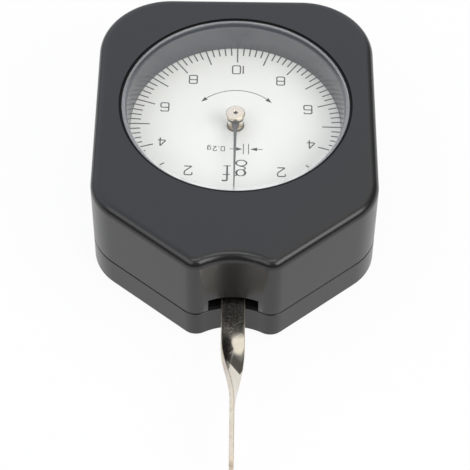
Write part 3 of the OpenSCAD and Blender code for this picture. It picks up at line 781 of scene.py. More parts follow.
def case_outline(case, inset):
    """The whole outline, anticlockwise from the middle of the hollow."""
    half = half_outline(case, inset)
    return half + [Vector((-p.x, p.y)) for p in reversed(half[1:-1])]


class GAUGE_OT_upper_shell(bpy.types.Operator):
    """Upper shell with its rounded top edge, window bore, dial chamber and blade slot"""
    bl_idname = "gauge.upper_shell"
    bl_label = "Upper shell"

    def execute(self, context):
        case = context.scene.gauge_case
        slot_top = PARTING + case.slot_h
        ceiling = CASE_TOP - case.floor_t
        skirt_r = case.bore_r + case.skirt_t
        skirt_low = DIAL_HIGH.z + case.skirt_gap
        ledge = CRYSTAL_LOW.z - context.scene.gauge_window.seat_gap
        top_ring = case_outline(case, case.edge_r + TOP_MARGIN)
        angles = [math.atan2(p.y, p.x) for p in top_ring]
        angles = [a if a > -QUARTER - SAME_ANGLE else a + FULL_TURN for a in angles]
        if any(b <= a for a, b in zip(angles, angles[1:])):
            raise ValueError("the outline turns back on itself, so the top can't be skinned")
        bore = [(case.bore_r, CASE_TOP), (case.bore_r, ledge), (case.chamber_top_r, ledge),
                (case.chamber_foot_r, skirt_low), (skirt_r, skirt_low), (skirt_r, ceiling)]
        outer = [(PARTING, 0.0), (slot_top, 0.0)]
        outer += [(CASE_TOP - case.edge_r * (1 - math.sin(a)), case.edge_r * (1 - math.cos(a)))
                  for a in spread(0, QUARTER, EDGE_STEPS)]
        inner = [(ceiling, case.wall), (slot_top, case.wall), (PARTING, case.wall)]
        rings = [at_height(case_outline(case, inset), z) for z, inset in outer]
        rings.append(at_height(top_ring, CASE_TOP))
        rings += [[Vector((*polar(r, a), z)) for a in angles] for r, z in bore]
        rings += [at_height(case_outline(case, inset), z) for z, inset in inner]
        count, last = len(top_ring), len(rings) - 1
        in_slot = set(range(SLOT_STEPS)) | set(range(count - SLOT_STEPS, count))
        # The crystal's ledge starts at the third ring past the outer ones, and the chamber's wall follows it
        ledge_row = len(outer) + 2
        bm = bmesh.new()
        rows = skin(bm, rings, closed=True,
                    left_out=lambda i, j: i in (0, last - 1, last) and j in in_slot,
                    painted=lambda i, j: i in (ledge_row, ledge_row + 1))
        for j in in_slot:
            k = (j + 1) % count
            bm.faces.new((rows[1][j], rows[1][k], rows[last - 1][k], rows[last - 1][j]))
        for j in (SLOT_STEPS, count - SLOT_STEPS):
            bm.faces.new((rows[0][j], rows[1][j], rows[last - 1][j], rows[last][j]))
        bmesh.ops.delete(bm, geom=[v for v in bm.verts if not v.link_faces], context="VERTS")
        finishes = [case_black(case), chamber_gloss(case)]
        made = piece("upper_shell", bm, "body", finishes, ["upper_case"])
        break_edges(made, case.break_edge)
        return {"FINISHED"}


def screw_spots():
    """The middle and the radius of each case screw's head: there is one in each quarter of the case."""
    quarters = {}
    for v in NODES["case_screws"].data.vertices:
        quarters.setdefault((v.co.x > 0, v.co.y > 0), []).append(v.co)
    spots = []
    for points in quarters.values():
        xs = [p.x for p in points]
        ys = [p.y for p in points]
        middle = Vector(((min(xs) + max(xs)) / 2, (min(ys) + max(ys)) / 2))
        spots.append((middle, (max(xs) - min(xs)) / 2))
    return spots


class GAUGE_OT_rear_shell(bpy.types.Operator):
    """Rear shell with its rounded edge and the four sunk holes for the case screws"""
    bl_idname = "gauge.rear_shell"
    bl_label = "Rear shell"

    def execute(self, context):
        case = context.scene.gauge_case
        small = case.break_edge
        lip, deep = PARTING - case.groove, case.groove_depth
        profile = [(case.cover_edge_r * (1 - math.cos(a)), case.cover_edge_r * (1 - math.sin(a)))
                   for a in spread(0, QUARTER, REAR_EDGE_STEPS)]
        profile += [(lip - small, 0.0), (lip, small), (lip, deep), (PARTING, deep), (PARTING, case.wall),
                    (case.floor_t, case.wall)]
        bm = bmesh.new()
        rows = skin(bm, [at_height(case_outline(case, inset), z) for z, inset in profile])
        under, inside = [rows[0]], [rows[-1]]
        for spot, head_r in screw_spots():
            sunk_r = head_r + HEAD_GAP
            steps = [(sunk_r + small, 0), (sunk_r, small), (sunk_r, HEAD_DEPTH), (SHANK_R, HEAD_DEPTH),
                     (SHANK_R, case.floor_t)]
            hole = skin(bm, [at_height(arc(spot, r, 0, FULL_TURN, HOLE_STEPS)[:-1], z) for r, z in steps])
            under.append(hole[0])
            inside.append(hole[-1])
        fill(bm, *under)
        fill(bm, *inside)
        made = piece("rear_shell", bm, "body", [case_black(case)], ["rear_cover"])
        hold_edges(made)
        return {"FINISHED"}


def dress(node, finish):
    """Gives a CAD node its finish."""
    node.data.materials.clear()
    node.data.materials.append(finish)


class GAUGE_OT_case_screws(bpy.types.Operator):
    """Finish of the four case screws"""
    bl_idname = "gauge.case_screws"
    bl_label = "Case screws"

    def execute(self, context):
        metal = context.scene.gauge_metal
        node = NODES["case_screws"]
        dress(node, screw_steel(metal))
        break_edges(node, metal.screw_break, weld=True)
        return {"FINISHED"}


# The window and the dial

# Steps round the section of the gasket's lip, and the break on the dial's edges
LIP_STEPS = 4
DIAL_BREAK = 0.06 * MM


class GAUGE_OT_crystal(bpy.types.Operator):
    """Clear crystal with a ground bevel and edge"""
    bl_idname = "gauge.crystal"
    bl_label = "Crystal"

    def execute(self, context):
        window = context.scene.gauge_window
        radius, seat, top = CRYSTAL_HIGH.x, CRYSTAL_LOW.z, CRYSTAL_HIGH.z
        profile = [(0, seat), (radius - window.edge, seat), (radius, seat + window.edge),
                   (radius, top - window.bevel_h), (radius - window.bevel, top), (0, top)]
        glass = [clear_glass(), ground_glass(1.0, name="ground_bevel"),
                 ground_glass(window.edge_shade, name="ground_edge")]
        # The first stretch and the last are clear. The foot's break and the wall have the edge's darker
        # finish, which is painted shade
        bm = lathe(profile, ROUND_STEPS, finishes={1: 2, 2: 2, 3: 1})
        made = piece("window_crystal", bm, "body", glass, ["crystal"])
        hold_edges(made, degrees=20)
        made.visible_shadow = False
        made.visible_diffuse = False
        made.visible_glossy = False
        return {"FINISHED"}


class GAUGE_OT_gasket(bpy.types.Operator):
    """Rubber gasket round the crystal"""
    bl_idname = "gauge.gasket"
    bl_label = "Gasket"

    def execute(self, context):
        window = context.scene.gauge_window
        inner = CRYSTAL_HIGH.x + window.seat_gap
        outer, foot, small = GASKET_HIGH.x, GASKET_LOW.z, window.gasket_round
        top = GASKET_HIGH.z + window.gasket_lip
        profile = [(inner, foot), (outer, foot)]
        profile += arc((outer - small, top - small), small, 0, QUARTER, LIP_STEPS)
        profile += arc((inner + small, top - small), small, QUARTER, math.pi, LIP_STEPS)
        bm = lathe(profile, ROUND_STEPS, closed=True)
        made = piece("window_gasket", bm, "body", [gasket_rubber(window)], ["crystal_gasket"])
        hold_edges(made)
        return {"FINISHED"}


class GAUGE_OT_dial(bpy.types.Operator):
    """Enamelled dial disc with its middle hole"""
    bl_idname = "gauge.dial"
    bl_label = "Dial"

    def execute(self, context):
        dial = context.scene.gauge_dial
        profile = ring_profile(dial.hole_r, DIAL_HIGH.x, DIAL_LOW.z, DIAL_HIGH.z, DIAL_BREAK)
        bm = lathe(profile, ROUND_STEPS, closed=True)
        made = piece("dial_disc", bm, "body", [dial_enamel(dial)], ["dial_plate"])
        hold_edges(made)
        return {"FINISHED"}


# What is printed on the dial

# Strokes of the digits in a cell of width 1 and height 1: each has its points, and whether it is closed
DIGITS = {
    "0": [([(0, 0), (1, 0), (1, 1), (0, 1)], True)],
    "1": [([(0.5, 0), (0.5, 1)], False)],
    "2": [([(0.02, 0.72), (0.02, 1), (0.97, 1), (0.97, 0.6), (0.03, 0), (1, 0)], False)],
    "4": [([(0.72, 0), (0.72, 1), (0, 0.3), (1, 0.3)], False)],
    "6": [([(0.96, 0.84), (0.96, 1), (0, 1), (0, 0), (1, 0), (1, 0.54), (0, 0.54)], False)],
    "8": [([(0, 0), (1, 0), (1, 0.53), (0, 0.53)], True), ([(0, 0.53), (0, 1), (1, 1), (1, 0.53)], False)],
}
# Rounding of a digit's corners, as a share of its width
DIGIT_CORNER = 0.2
# How far each number lies right of and above its even place on the left and on the right, in millimetres
NUMBER_SHIFTS = {
    2: ((-0.27, 0.3), (0.27, 0.3)),
    4: ((-0.22, 0.0), (0.65, 0.0)),
    6: ((0, -0.1), (0, -0.1)),
    8: ((0, 0), (0, 0)),
}
# Numbers to half a turn, and the places of the two digits of ten: its nought also moves with a digit's width
HALF_SCALE = 10
TEN_ONE = 1.32 * MM
TEN_NOUGHT = 0.28 * MM
TEN_NOUGHT_SHARE = 0.26

# The least that a stroke's corner is mitred to, and the length of a side in reaches of its rounded corners
MITRE_LIMIT = 0.5
SIDE_PER_CORNER = 2.1
# Steps round an oval, round a small letter's oval, and round a dot
OVAL_STEPS = 28
LETTER_STEPS = 20
DOT_STEPS = 12


def rounded_path(points, radius, closed=False, steps=3):
    """A path whose corners are rounded off."""
    points = [Vector(p) for p in points]
    made = []
    for i, corner in enumerate(points):
        if not closed and i in (0, len(points) - 1):
            made.append(corner)
            continue
        to_before, to_after = points[i - 1] - corner, points[(i + 1) % len(points)] - corner
        reach = min(radius, to_before.length / SIDE_PER_CORNER, to_after.length / SIDE_PER_CORNER)
        start = corner + to_before.normalized() * reach
        end = corner + to_after.normalized() * reach
        for t in spread(0, 1, steps):
            made.append(start.lerp(corner, t).lerp(corner.lerp(end, t), t))
    return made


def upright(origin, points):
    """Points in millimetres, right of and above an origin on the dial, for print that stands up to -Y."""
    return [(origin[0] - u * MM, origin[1] - v * MM) for u, v in points]


def oval(centre, half_w, half_h, steps=OVAL_STEPS):
    """Points round an oval, in the units of its centre."""
    return [(centre[0] + half_w * math.cos(a), centre[1] + half_h * math.sin(a)) for a in round_angles(steps)]


class Print:
    """A piece of the print, in flat strokes that are let into the dial a little."""

    def __init__(self, dial):
        self.dial = dial
        self.bm = bmesh.new()
        self.heights = (DIAL_HIGH.z - dial.print_sink, DIAL_HIGH.z + dial.print_h)

    def stroke(self, path, width, closed=False):
        """A stroke along a path, with mitred corners. width is a number, or one for each point in a list."""
        widths = width if isinstance(width, list) else [width] * len(path)
        path = [Vector(p) for p in path]
        count = len(path)
        runs = [(path[(i + 1) % count] - p).normalized() for i, p in enumerate(path)]
        left, right = [], []
        for i, point in enumerate(path):
            run_in = runs[i - 1] if closed or i > 0 else runs[i]
            run_out = runs[i] if closed or i < count - 1 else run_in
            along = (run_in + run_out).normalized()
            across = Vector((-along.y, along.x))
            stretch = max(along.dot(run_in), MITRE_LIMIT)
            left.append(point + across * widths[i] / 2 / stretch)
            right.append(point - across * widths[i] / 2 / stretch)
        sides = [[self.bm.verts.new((*p, z)) for p in side] for z in self.heights for side in (left, right)]
        low_left, low_right, top_left, top_right = sides
        for i in range(count if closed else count - 1):
            k = (i + 1) % count
            self.bm.faces.new((top_left[i], top_right[i], top_right[k], top_left[k]))
            self.bm.faces.new((low_left[i], low_left[k], low_right[k], low_right[i]))
            self.bm.faces.new((low_left[i], top_left[i], top_left[k], low_left[k]))
            self.bm.faces.new((low_right[i], low_right[k], top_right[k], top_right[i]))
        if not closed:
            for i in (0, -1):
                self.bm.faces.new((low_left[i], low_right[i], top_right[i], top_left[i]))

    def patch(self, outline):
        """A filled shape, such as an arrowhead."""
        low, top = ([self.bm.verts.new((*p, z)) for p in outline] for z in self.heights)
        self.bm.faces.new(top)
        self.bm.faces.new(list(reversed(low)))
        for i in range(len(outline)):
            k = (i + 1) % len(outline)
            self.bm.faces.new((low[i], low[k], top[k], top[i]))

    def digit(self, digit, middle, size, stroke):
        """A digit that stands upright to -Y, with its middle at a point of the dial."""
        width, height = size
        for points, closed in DIGITS[digit]:
            cell = [((x - 0.5) * width, (y - 0.5) * height) for x, y in points]
            path = rounded_path(cell, DIGIT_CORNER * width, closed)
            self.stroke([Vector(middle) - p for p in path], stroke, closed)

    def make(self, name):
        """Makes the piece, turned and shifted as the whole print is."""
        shift = Matrix.Translation((self.dial.print_shift, 0, 0))
        self.bm.transform(shift @ Matrix.Rotation(self.dial.print_turn, 4, "Z"))
        piece(name, self.bm, "body", [printing_ink(self.dial)])


class GAUGE_OT_scale(bpy.types.Operator):
    """Printed division marks round the dial"""
    bl_idname = "gauge.scale"
    bl_label = "Scale"

    def execute(self, context):
        dial = context.scene.gauge_dial
        marks = Print(dial)
        for i in range(dial.divisions):
            angle = FULL_TURN * i / dial.divisions - QUARTER
            inner = dial.tick_long if i % dial.per_long == 0 else dial.tick_short
            marks.stroke([polar(inner, angle), polar(dial.tick_outer, angle)], dial.tick_w)
        marks.make("dial_scale")
        return {"FINISHED"}


class GAUGE_OT_numbers(bpy.types.Operator):
    """Printed numbers of the scale, the same up both sides"""
    bl_idname = "gauge.numbers"
    bl_label = "Numbers"

    def execute(self, context):
        dial = context.scene.gauge_dial
        size = (dial.number_w, dial.number_h)
        places = []
        for value, shifts in NUMBER_SHIFTS.items():
            for side, shift in zip((-1, 1), shifts):
                even = polar(dial.number_r, side * value * math.pi / HALF_SCALE - QUARTER)
                places.append((str(value), even + Vector(shift) * MM))
        places.append(("0", (TEN_NOUGHT - TEN_NOUGHT_SHARE * dial.number_w, dial.number_r)))
        places.append(("1", (TEN_ONE, dial.number_r)))
        numbers = Print(dial)
        for digit, middle in places:
            numbers.digit(digit, middle, size, dial.number_stroke)
        numbers.make("dial_numbers")
        return {"FINISHED"}


# The unit's sign, in millimetres right of and above its origin: its ovals, with their middle, half width,
# half height and the stroke at their top and at their sides, its strokes with their width, and its hook's dot
UNIT_ORIGIN = (0, -11.5 * MM)
UNIT_OVALS = (
    ((-1.27, 1.84), 0.95, 0.87, 0.18, 0.46),
    ((-1.36, -0.85), 1.12, 0.8, 0.22, 0.34),
)
UNIT_STROKES = (
    (rounded_path([(-1.75, 1.1), (-2.35, 0.62), (-1.9, 0.12), (-0.95, -0.02)], 0.5), 0.26),
    ([(-0.62, 2.42), (-0.3, 2.62), (-0.04, 2.55)], 0.24),
    (rounded_path([(1.62, 0.0), (1.62, 4.1), (2.55, 4.12)], 0.75, steps=6), 0.36),
    ([(0.87, 0.0), (2.4, 0.0)], 0.2),
    ([(1.05, 2.4), (2.52, 2.4)], 0.22),
)
UNIT_DOT = ((2.55, 4.02), 0.2, 0.2, DOT_STEPS)
# The value of one division, in millimetres on the dial: its row, its digits and their size, its point, the
# origin of its letter with that letter's oval and tail, the bars, and each arrow's tip, head and end
ROW = -6.72
ROW_DIGITS = (("0", -2.68), ("2", -4.4))
ROW_DIGIT_SIZE = (0.74 * MM, 1.2 * MM)
ROW_POINT = ((-3.53 * MM, -6.2 * MM), 0.13 * MM, 0.13 * MM, DOT_STEPS)
LETTER_ORIGIN = (-5.22 * MM, -6.12 * MM)
LETTER_OVAL = ((0.36, 0.48), 0.33, 0.4, LETTER_STEPS)
LETTER_TAIL = rounded_path([(0.72, 0.92), (0.72, -0.32), (0.08, -0.3)], 0.3)
BAR_PLACES = (1.73, 2.84)
BAR_ENDS = (-5.2 * MM, -8.15 * MM)
ROW_ARROWS = ((3.17, 4.68, 5.86), (1.47, 0.17, -1.22))
ROW_HEAD_HALF = 0.5
# The arc of the turn: its radius, half its turn, its steps, and the length and half width of its heads
TURN_R = 10.2 * MM
TURN_HALF = math.radians(49)
TURN_STEPS = 48
HEAD_L = 1.5 * MM
HEAD_HALF = 0.5 * MM


class GAUGE_OT_unit_marks(bpy.types.Operator):
    """Printed unit, value of one division and the arrows that show its width and the pointer's turn"""
    bl_idname = "gauge.unit_marks"
    bl_label = "Unit marks"

    def execute(self, context):
        dial = context.scene.gauge_dial
        marks = Print(dial)
        self.unit(marks)
        self.division(marks, dial.mark_stroke)
        self.turn_arrows(marks, dial.mark_stroke)
        marks.make("dial_unit_marks")
        return {"FINISHED"}

    def unit(self, marks):
        """The sign for gram-force, with thick and thin strokes."""
        for *shape, thin, thick in UNIT_OVALS:
            widths = [(thin + (thick - thin) * math.cos(a) ** 2) * MM for a in round_angles(OVAL_STEPS)]
            marks.stroke(upright(UNIT_ORIGIN, oval(*shape)), widths, closed=True)
        for points, width in UNIT_STROKES:
            marks.stroke(upright(UNIT_ORIGIN, points), width * MM)
        marks.patch(upright(UNIT_ORIGIN, oval(*UNIT_DOT)))

    def division(self, marks, stroke):
        """The value of one division, and two arrows that close on its bars."""
        for digit, x in ROW_DIGITS:
            marks.digit(digit, (x * MM, ROW * MM), ROW_DIGIT_SIZE, stroke)
        marks.patch(oval(*ROW_POINT))
        marks.stroke(upright(LETTER_ORIGIN, oval(*LETTER_OVAL)), stroke, closed=True)
        marks.stroke(upright(LETTER_ORIGIN, LETTER_TAIL), stroke)
        for x in BAR_PLACES:
            marks.stroke([(x * MM, y) for y in BAR_ENDS], stroke)
        for tip, back, end in ROW_ARROWS:
            head = [(tip, ROW), (back, ROW + ROW_HEAD_HALF), (back, ROW - ROW_HEAD_HALF)]
            marks.patch([(x * MM, y * MM) for x, y in head])
            marks.stroke([(back * MM, ROW * MM), (end * MM, ROW * MM)], stroke)

    def turn_arrows(self, marks, stroke):
        """A thin arc with an arrow at each end: the pointer turns to either hand."""
        shaft = TURN_HALF - HEAD_L / TURN_R
        marks.stroke(arc((0, 0), TURN_R, QUARTER - shaft, QUARTER + shaft, TURN_STEPS), stroke)
        for side in (-1, 1):
            base = QUARTER + side * shaft
            marks.patch([polar(TURN_R, QUARTER + side * TURN_HALF), polar(TURN_R + HEAD_HALF, base),
                         polar(TURN_R - HEAD_HALF, base)])


# The pointer and its bush

# The pointer's round root: where its arc starts, as an angle from straight across, how far out along the
# pointer it ends, and its steps
DISC_START = QUARTER * 0.97
DISC_REACH = 1.7 * MM
DISC_STEPS = 16
# The bulb: where it starts, how it narrows, and its steps
BULB_START = 2.5 * MM
BULB_EASE = 1.2
BULB_STEPS = 8
# Places and half widths along the taper, the length of the blunt tip, and the share of its width at its end
TAPER = [(-10.3 * MM, 0.24 * MM), (-19.2 * MM, 0.13 * MM)]
TIP_L = 0.15 * MM
TIP_SHARE = 0.4
# Breaks on the edges of the boss and the bush, steps of the boss's rounding, and the bush's gap to the arbor
BOSS_BREAK = 0.08 * MM
BUSH_BREAK = 0.15 * MM
BOSS_ROUND_STEPS = 6
ARBOR_GAP = 0.01 * MM


class GAUGE_OT_pointer(bpy.types.Operator):
    """Pointer blade: a round root, a rounded bulb and a long taper to the tip"""
    bl_idname = "gauge.pointer"
    bl_label = "Pointer"

    def execute(self, context):
        pointer = context.scene.gauge_pointer
        reach = -POINTER_LOW.y
        disc_end = -math.asin(DISC_REACH / pointer.disc_r)
        stations = [(pointer.disc_r * math.sin(a), pointer.disc_r * math.cos(a))
                    for a in spread(DISC_START, disc_end, DISC_STEPS)]
        bulb_l = pointer.bulb_reach - BULB_START
        for a in spread(0, QUARTER, BULB_STEPS):
            half = pointer.neck_half + (pointer.root_half - pointer.neck_half) * math.cos(a) ** BULB_EASE
            stations.append((-BULB_START - bulb_l * math.sin(a), half))
        stations += TAPER
        stations += [(-reach + TIP_L, pointer.tip_half), (-reach, pointer.tip_half * TIP_SHARE)]
        z0, z1 = POINTER_LOW.z, POINTER_HIGH.z
        rings = []
        for y, half in stations:
            small = min(pointer.edge, half / 2)
            section = [(half, z0 + small), (half, z1 - small), (half - small, z1), (small - half, z1),
                       (-half, z1 - small), (-half, z0 + small), (small - half, z0), (half - small, z0)]
            rings.append([Vector((x, y, z)) for x, z in section])
        bm = bmesh.new()
        rows = skin(bm, rings)
        bm.faces.new(rows[0])
        bm.faces.new(rows[-1])
        bm.transform(Matrix.Rotation(context.scene.gauge_dial.print_turn, 4, "Z"))
        finishes = [pointer_lacquer(pointer)]
        made = piece("pointer_hand", bm, "pointer", finishes, ["pointer_blade"])
        hold_edges(made)
        return {"FINISHED"}


class GAUGE_OT_pointer_boss(bpy.types.Operator):
    """Turned boss that holds the pointer on its arbor"""
    bl_idname = "gauge.pointer_boss"
    bl_label = "Pointer boss"

    def execute(self, context):
        pointer = context.scene.gauge_pointer
        radius, foot, top = BOSS_HIGH.x, BOSS_LOW.z, BOSS_HIGH.z
        blade_top, flange = POINTER_HIGH.z, top - pointer.boss_flange_h
        hole, barrel, neck = pointer.boss_hole_r, pointer.boss_barrel_r, pointer.boss_neck_r
        soft, small = pointer.boss_round, BOSS_BREAK
        profile = [(hole, foot), (barrel - small, foot), (barrel, foot + small), (barrel, blade_top),
                   (neck, blade_top), (neck, flange), (radius - small, flange), (radius, flange + small)]
        profile += arc((radius - soft, top - soft), soft, 0, QUARTER, BOSS_ROUND_STEPS)
        profile += [(hole + small, top), (hole, top - small)]
        # The bore's wall takes the pointer's black lacquer: painted shade in the hole
        bore = len(profile) - 1
        bm = lathe(profile, SMALL_ROUND_STEPS, closed=True, finishes={bore: 1})
        metals_and_painted_shade = [turned_metal(pointer.boss_colour, groove=0.05 * MM, roughness=0.16, name="boss_metal"),
                  pointer_lacquer(pointer)]
        made = piece("pointer_cap", bm, "pointer", metals_and_painted_shade, ["pointer_boss"])
        hold_edges(made)
        return {"FINISHED"}


class GAUGE_OT_dial_bush(bpy.types.Operator):
    """Turned bush that stands through the dial under the pointer"""
    bl_idname = "gauge.dial_bush"
    bl_label = "Dial bush"

    def execute(self, context):
        pointer = context.scene.gauge_pointer
        hole = pointer.boss_hole_r + ARBOR_GAP
        profile = ring_profile(hole, BUSH_HIGH.x, BUSH_LOW.z, BUSH_HIGH.z, BUSH_BREAK)
        # The bush's wall and its break take the darker rim finish: painted shade round its edge
        bm = lathe(profile, SMALL_ROUND_STEPS, closed=True, finishes={RING_WALL: 1, RING_BREAK: 1})
        metals_and_painted_shade = [turned_metal(pointer.bush_colour, groove=0.06 * MM, roughness=0.2, name="bush_brass"),
                  turned_metal(pointer.rim_painted_shade_colour, groove=0.06 * MM, roughness=0.3, name="bush_rim")]
        made = piece("bush_ring", bm, "body", metals_and_painted_shade, ["dial_bush"])
        hold_edges(made)
        return {"FINISHED"}


# The feeler blade

# Steps across each broad side of the blade's section and round each of its corners, and the numbers of the
# sides that make up the two broad sides
BROAD_STEPS = 10
SOFT_STEPS = 3
FIRST_BROAD = SOFT_STEPS
SECOND_BROAD = 3 * SOFT_STEPS + 1 + BROAD_STEPS
BROAD_SIDES = {first + i for first in (FIRST_BROAD, SECOND_BROAD) for i in range(BROAD_STEPS)}
# The most of the half thickness that an edge's rounding may take
MOST_SOFT = 0.9
# The flat run at the root and its steps, the steps of the twist, the gap after it, and the steps to the tip
FLAT_RUN = 16 * MM
FLAT_STEPS = 2
TWIST_STEPS = 60
TWIST_GAP = 1 * MM
STRAIGHT_STEPS = 8
TIP_STEPS = 10
# The break round the end of the tip
TIP_BREAK = 0.1 * MM


class GAUGE_OT_feeler(bpy.types.Operator):
    """Feeler blade: flat where it is riveted, a quarter twist, then on edge to its rounded tip"""
    bl_idname = "gauge.feeler"
    bl_label = "Feeler blade"

    def execute(self, context):
        blade = context.scene.gauge_blade
        inner, tip = -BLADE_HIGH.y, -BLADE_LOW.y
        twist_end = blade.twist_start + blade.twist_l
        half_w, half_t = blade.width / 2, blade.thickness / 2
        reaches = [inner + s for s in spread(0, FLAT_RUN, FLAT_STEPS)]
        reaches += spread(blade.twist_start, twist_end, TWIST_STEPS)
        reaches += spread(twist_end + TWIST_GAP, tip - blade.tip_r, STRAIGHT_STEPS)
        stations = [(s, half_w) for s in reaches]
        round_end = math.asin(1 - TIP_BREAK / blade.tip_r)
        for a in spread(0, round_end, TIP_STEPS)[1:]:
            stations.append((tip - blade.tip_r * (1 - math.sin(a)), half_w - blade.tip_r * (1 - math.cos(a))))
        rings = [self.section(blade, s, half, half_t) for s, half in stations]
        rings.append(self.section(blade, tip, stations[-1][1] - TIP_BREAK, half_t - TIP_BREAK))
        bm = bmesh.new()
        rows = skin(bm, rings, painted=lambda i, j: j not in BROAD_SIDES)
        bm.faces.new(rows[0])
        bm.faces.new(rows[-1]).material_index = 1
        finishes = [polished_nickel(blade), sheared_edge(blade)]
        made = piece("feeler", bm, "lever", finishes, ["feeler_blade"])
        hold_edges(made, degrees=40)
        return {"FINISHED"}

    def section(self, blade, reach, half_w, half_t):
        """The blade's section at a reach from the pointer's axis, turned as the twist has it there."""
        middle_z = (BLADE_LOW.z + BLADE_HIGH.z) / 2
        share_done = min(max((reach - blade.twist_start) / blade.twist_l, 0), 1)
        angle = QUARTER * share_done * share_done * (3 - 2 * share_done)
        soft = min(blade.edge_r, half_t * MOST_SOFT)
        points = []
        for quarter, (sx, sz) in enumerate(((1, 1), (-1, 1), (-1, -1), (1, -1))):
            centre = (sx * (half_w - soft), sz * (half_t - soft))
            points += arc(centre, soft, quarter * QUARTER, (quarter + 1) * QUARTER, SOFT_STEPS)
            if quarter % 2 == 0:
                points += [(x, sz * half_t) for x in spread(centre[0], -centre[0], BROAD_STEPS)[1:-1]]
        turned = []
        for x, z in points:
            turned.append(Vector((x * math.cos(angle) + z * math.sin(angle), -reach,
                                  middle_z - x * math.sin(angle) + z * math.cos(angle))))
        return turned


# The movement, by its metals

BRASS_NODES = ("dial_feet", "main_plate", "bridge_plate", "pillars", "lever_bushes", "pinion_bush",
               "lever_hub", "sector_gear", "balance_weights", "spring_collet", "hairspring_collet")
SCREW_NODES = ("pillar_screws", "movement_screws")
ARBOR_NODES = ("stop_pins", "lever_arbor", "blade_rivets", "balance_rivet", "spring_stud", "hairspring_stud",
               "pinion_arbor")
SPRING_NODES = ("measuring_spring", "hairspring")


class GAUGE_OT_movement(bpy.types.Operator):
    """Finishes of the movement inside the case"""
    bl_idname = "gauge.movement"
    bl_label = "Movement"

    def execute(self, context):
        metal = context.scene.gauge_metal
        brass = brushed_metal(metal.brass, grain=0.14 * MM, stretch=(0.1, 1, 1), roughness=0.24,
                              name="plate_brass")
        steel = turned_metal(metal.arbor_steel, groove=0.05 * MM, roughness=0.2, name="arbor_steel")
        finishes = (
            (BRASS_NODES, brass),
            (SCREW_NODES, screw_steel(metal)),
            (ARBOR_NODES, steel),
            (SPRING_NODES, spring_temper(metal)),
        )
        for names, finish in finishes:
            for name in names:
                dress(NODES[name], finish)
        return {"FINISHED"}


# The stage

# Each soft lamp's place, width and height, and power in watts
LAMPS = {
    "lamp_top": ((0.02, -0.1, 0.89), (0.5, 0.3), 0.95),
    "lamp_right": ((0.55, -0.36, 0.6), (0.75, 0.45), 3.6),
    "lamp_left": ((-0.47, -0.4, 0.6), (0.75, 0.45), 1.6),
}
FLOOR_STEPS = 64
# Width of the camera's frame in millimetres, and the nearest and the farthest that it sees
FRAME_W = 36
SEEN_FROM, SEEN_TO = 0.01, 20
# Soft edges of the light, as the stops of ramps: the panel's sides by the cosine of the turn from its middle,
# its foot and top by height, the glow by the cosine of the way from its middle, and the dimmer front by how
# far forward it lies
PANEL_SIDES = ((0.2, 0.0), (0.6, 1.0))
PANEL_HEIGHTS = ((0.05, 0.0), (0.15, 1.0), (0.86, 1.0), (0.95, 0.0))
GLOW_EDGE = ((0.925, 0.0), (0.975, 1.0))
FRONT_SIDES = ((0.3, 0.0), (0.6, 1.0))
# Heights at which the light from low on all sides ends, and that from high starts
LOW_TO, HIGH_FROM = 0.5, 0.9
# A little over 1, so that the level run of a way straight up isn't nothing
OVER_ONE = 1.001


def aim(made, spot, way, roll=0.0):
    """Puts a lamp or the camera at a spot, and turns it to look along a way."""
    made.location = spot
    made.rotation_mode = "QUATERNION"
    made.rotation_quaternion = way.to_track_quat("-Z", "Y") @ Quaternion((0, 0, 1), roll)


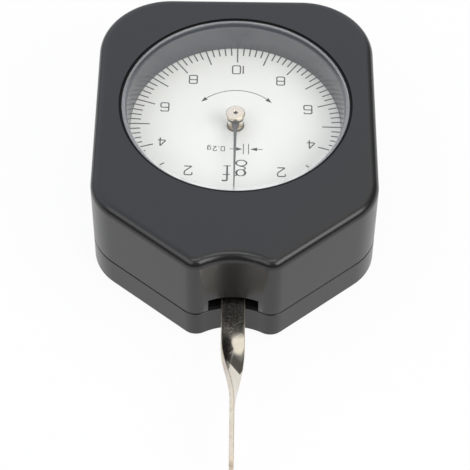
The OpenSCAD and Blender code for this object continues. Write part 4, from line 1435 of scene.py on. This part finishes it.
class GAUGE_OT_stage(bpy.types.Operator):
    """Pale floor, soft light from all round, three soft lamps and the camera"""
    bl_idname = "gauge.stage"
    bl_label = "Stage"

    def execute(self, context):
        stage = context.scene.gauge_stage
        self.floor(stage)
        self.sky(context, stage)
        for name, (spot, size, power) in LAMPS.items():
            self.lamp(name, spot, size, power)
        self.camera(context, stage)
        context.scene.view_settings.view_transform = "Standard"
        return {"FINISHED"}

    def floor(self, stage):
        """A round floor."""
        bm = bmesh.new()
        rim = [polar(stage.floor_r, a) for a in round_angles(FLOOR_STEPS)]
        bm.faces.new([bm.verts.new(p) for p in at_height(rim, -stage.floor_drop)])
        put_mesh("floor", bm, [studio_floor(stage)])

    def sky(self, context, stage):
        """Soft light from all round, a bright panel and a round glow behind, and white for the camera."""
        world = bpy.data.worlds.new("studio")
        world.use_nodes = True
        f = Finish(world.node_tree)
        seen = f.node("ShaderNodeLightPath", out="Is Camera Ray")
        way = f.node("ShaderNodeTexCoord", out="Generated")
        away = f.node("ShaderNodeSeparateXYZ", None, {"Vector": way}, "Y")
        sideways, height = away.beside("X"), away.beside("Z")
        level_run = (OVER_ONE - height * height) ** 0.5
        facing = away * math.cos(stage.panel_turn) - sideways * math.sin(stage.panel_turn)
        panel = f.steps(facing / level_run, *PANEL_SIDES) * f.steps(height, *PANEL_HEIGHTS)
        near = f.node("ShaderNodeVectorMath", {"operation": "DOT_PRODUCT"},
                      {0: way, 1: stage.glow_way}, "Value")
        glow = stage.glow * f.steps(near, *GLOW_EDGE)
        around = f.steps(height, (LOW_TO, stage.horizon), (HIGH_FROM, stage.sky))
        around = around * (1 - (1 - stage.front) * f.steps(0 - away, *FRONT_SIDES))
        level = around + (stage.panel - around) * panel.most(glow)
        tint = f.mix(panel * (1 - seen), WHITE, shaded(stage.panel_tint))
        tint = f.mix(glow * (1 - seen), tint, shaded(stage.glow_tint))
        tone = f.mix(level + (1 - level) * seen, BLACK, tint)
        sockets = {"Color": tone, "Strength": stage.strength}
        light = f.node("ShaderNodeBackground", None, sockets, "Background")
        f.node("ShaderNodeOutputWorld", None, {"Surface": light})
        context.scene.world = world

    def lamp(self, name, spot, size, power):
        """A soft lamp that faces the gauge."""
        light = bpy.data.lights.new(name, "AREA")
        light.shape = "RECTANGLE"
        light.size, light.size_y = size
        light.energy = power
        aim(put(name, light), spot, -Vector(spot))

    def camera(self, context, stage):
        """The photograph's own view."""
        data = bpy.data.cameras.new("camera")
        data.lens = stage.lens
        data.sensor_width = FRAME_W
        data.clip_start, data.clip_end = SEEN_FROM, SEEN_TO
        made = put("camera", data)
        aim(made, stage.eye, Vector(stage.aim) - Vector(stage.eye), stage.roll)
        context.scene.camera = made


class GAUGE_PT_panel(bpy.types.Panel):
    """The gauge's sizes, colours and pieces"""
    bl_idname = "GAUGE_PT_panel"
    bl_label = "Dial tension gauge"
    bl_space_type = "VIEW_3D"
    bl_region_type = "UI"
    bl_category = "Gauge"

    def draw(self, context):
        for operator in OPERATORS:
            self.layout.operator(operator.bl_idname)
        for attribute, group in GROUPS.items():
            box = self.layout.box()
            box.label(text=group.__doc__)
            for name in group.__annotations__:
                box.prop(getattr(context.scene, attribute), name)


GROUPS = {
    "gauge_case": CaseSettings,
    "gauge_window": WindowSettings,
    "gauge_dial": DialSettings,
    "gauge_pointer": PointerSettings,
    "gauge_blade": BladeSettings,
    "gauge_metal": MetalSettings,
    "gauge_stage": StageSettings,
}
OPERATORS = (
    GAUGE_OT_upper_shell, GAUGE_OT_rear_shell, GAUGE_OT_case_screws, GAUGE_OT_crystal, GAUGE_OT_gasket,
    GAUGE_OT_dial, GAUGE_OT_scale, GAUGE_OT_numbers, GAUGE_OT_unit_marks, GAUGE_OT_pointer,
    GAUGE_OT_pointer_boss, GAUGE_OT_dial_bush, GAUGE_OT_feeler, GAUGE_OT_movement, GAUGE_OT_stage,
)
CLASSES = (*GROUPS.values(), *OPERATORS, GAUGE_PT_panel)


def register():
    for cls in CLASSES:
        bpy.utils.register_class(cls)
    for attribute, group in GROUPS.items():
        setattr(bpy.types.Scene, attribute, bpy.props.PointerProperty(type=group))


def unregister():
    for attribute in GROUPS:
        delattr(bpy.types.Scene, attribute)
    for cls in reversed(CLASSES):
        bpy.utils.unregister_class(cls)


def main():
    register()
    for operator in OPERATORS:
        group, name = operator.bl_idname.split(".")
        getattr(getattr(bpy.ops, group), name)()


if __name__ == "__main__":
    main()
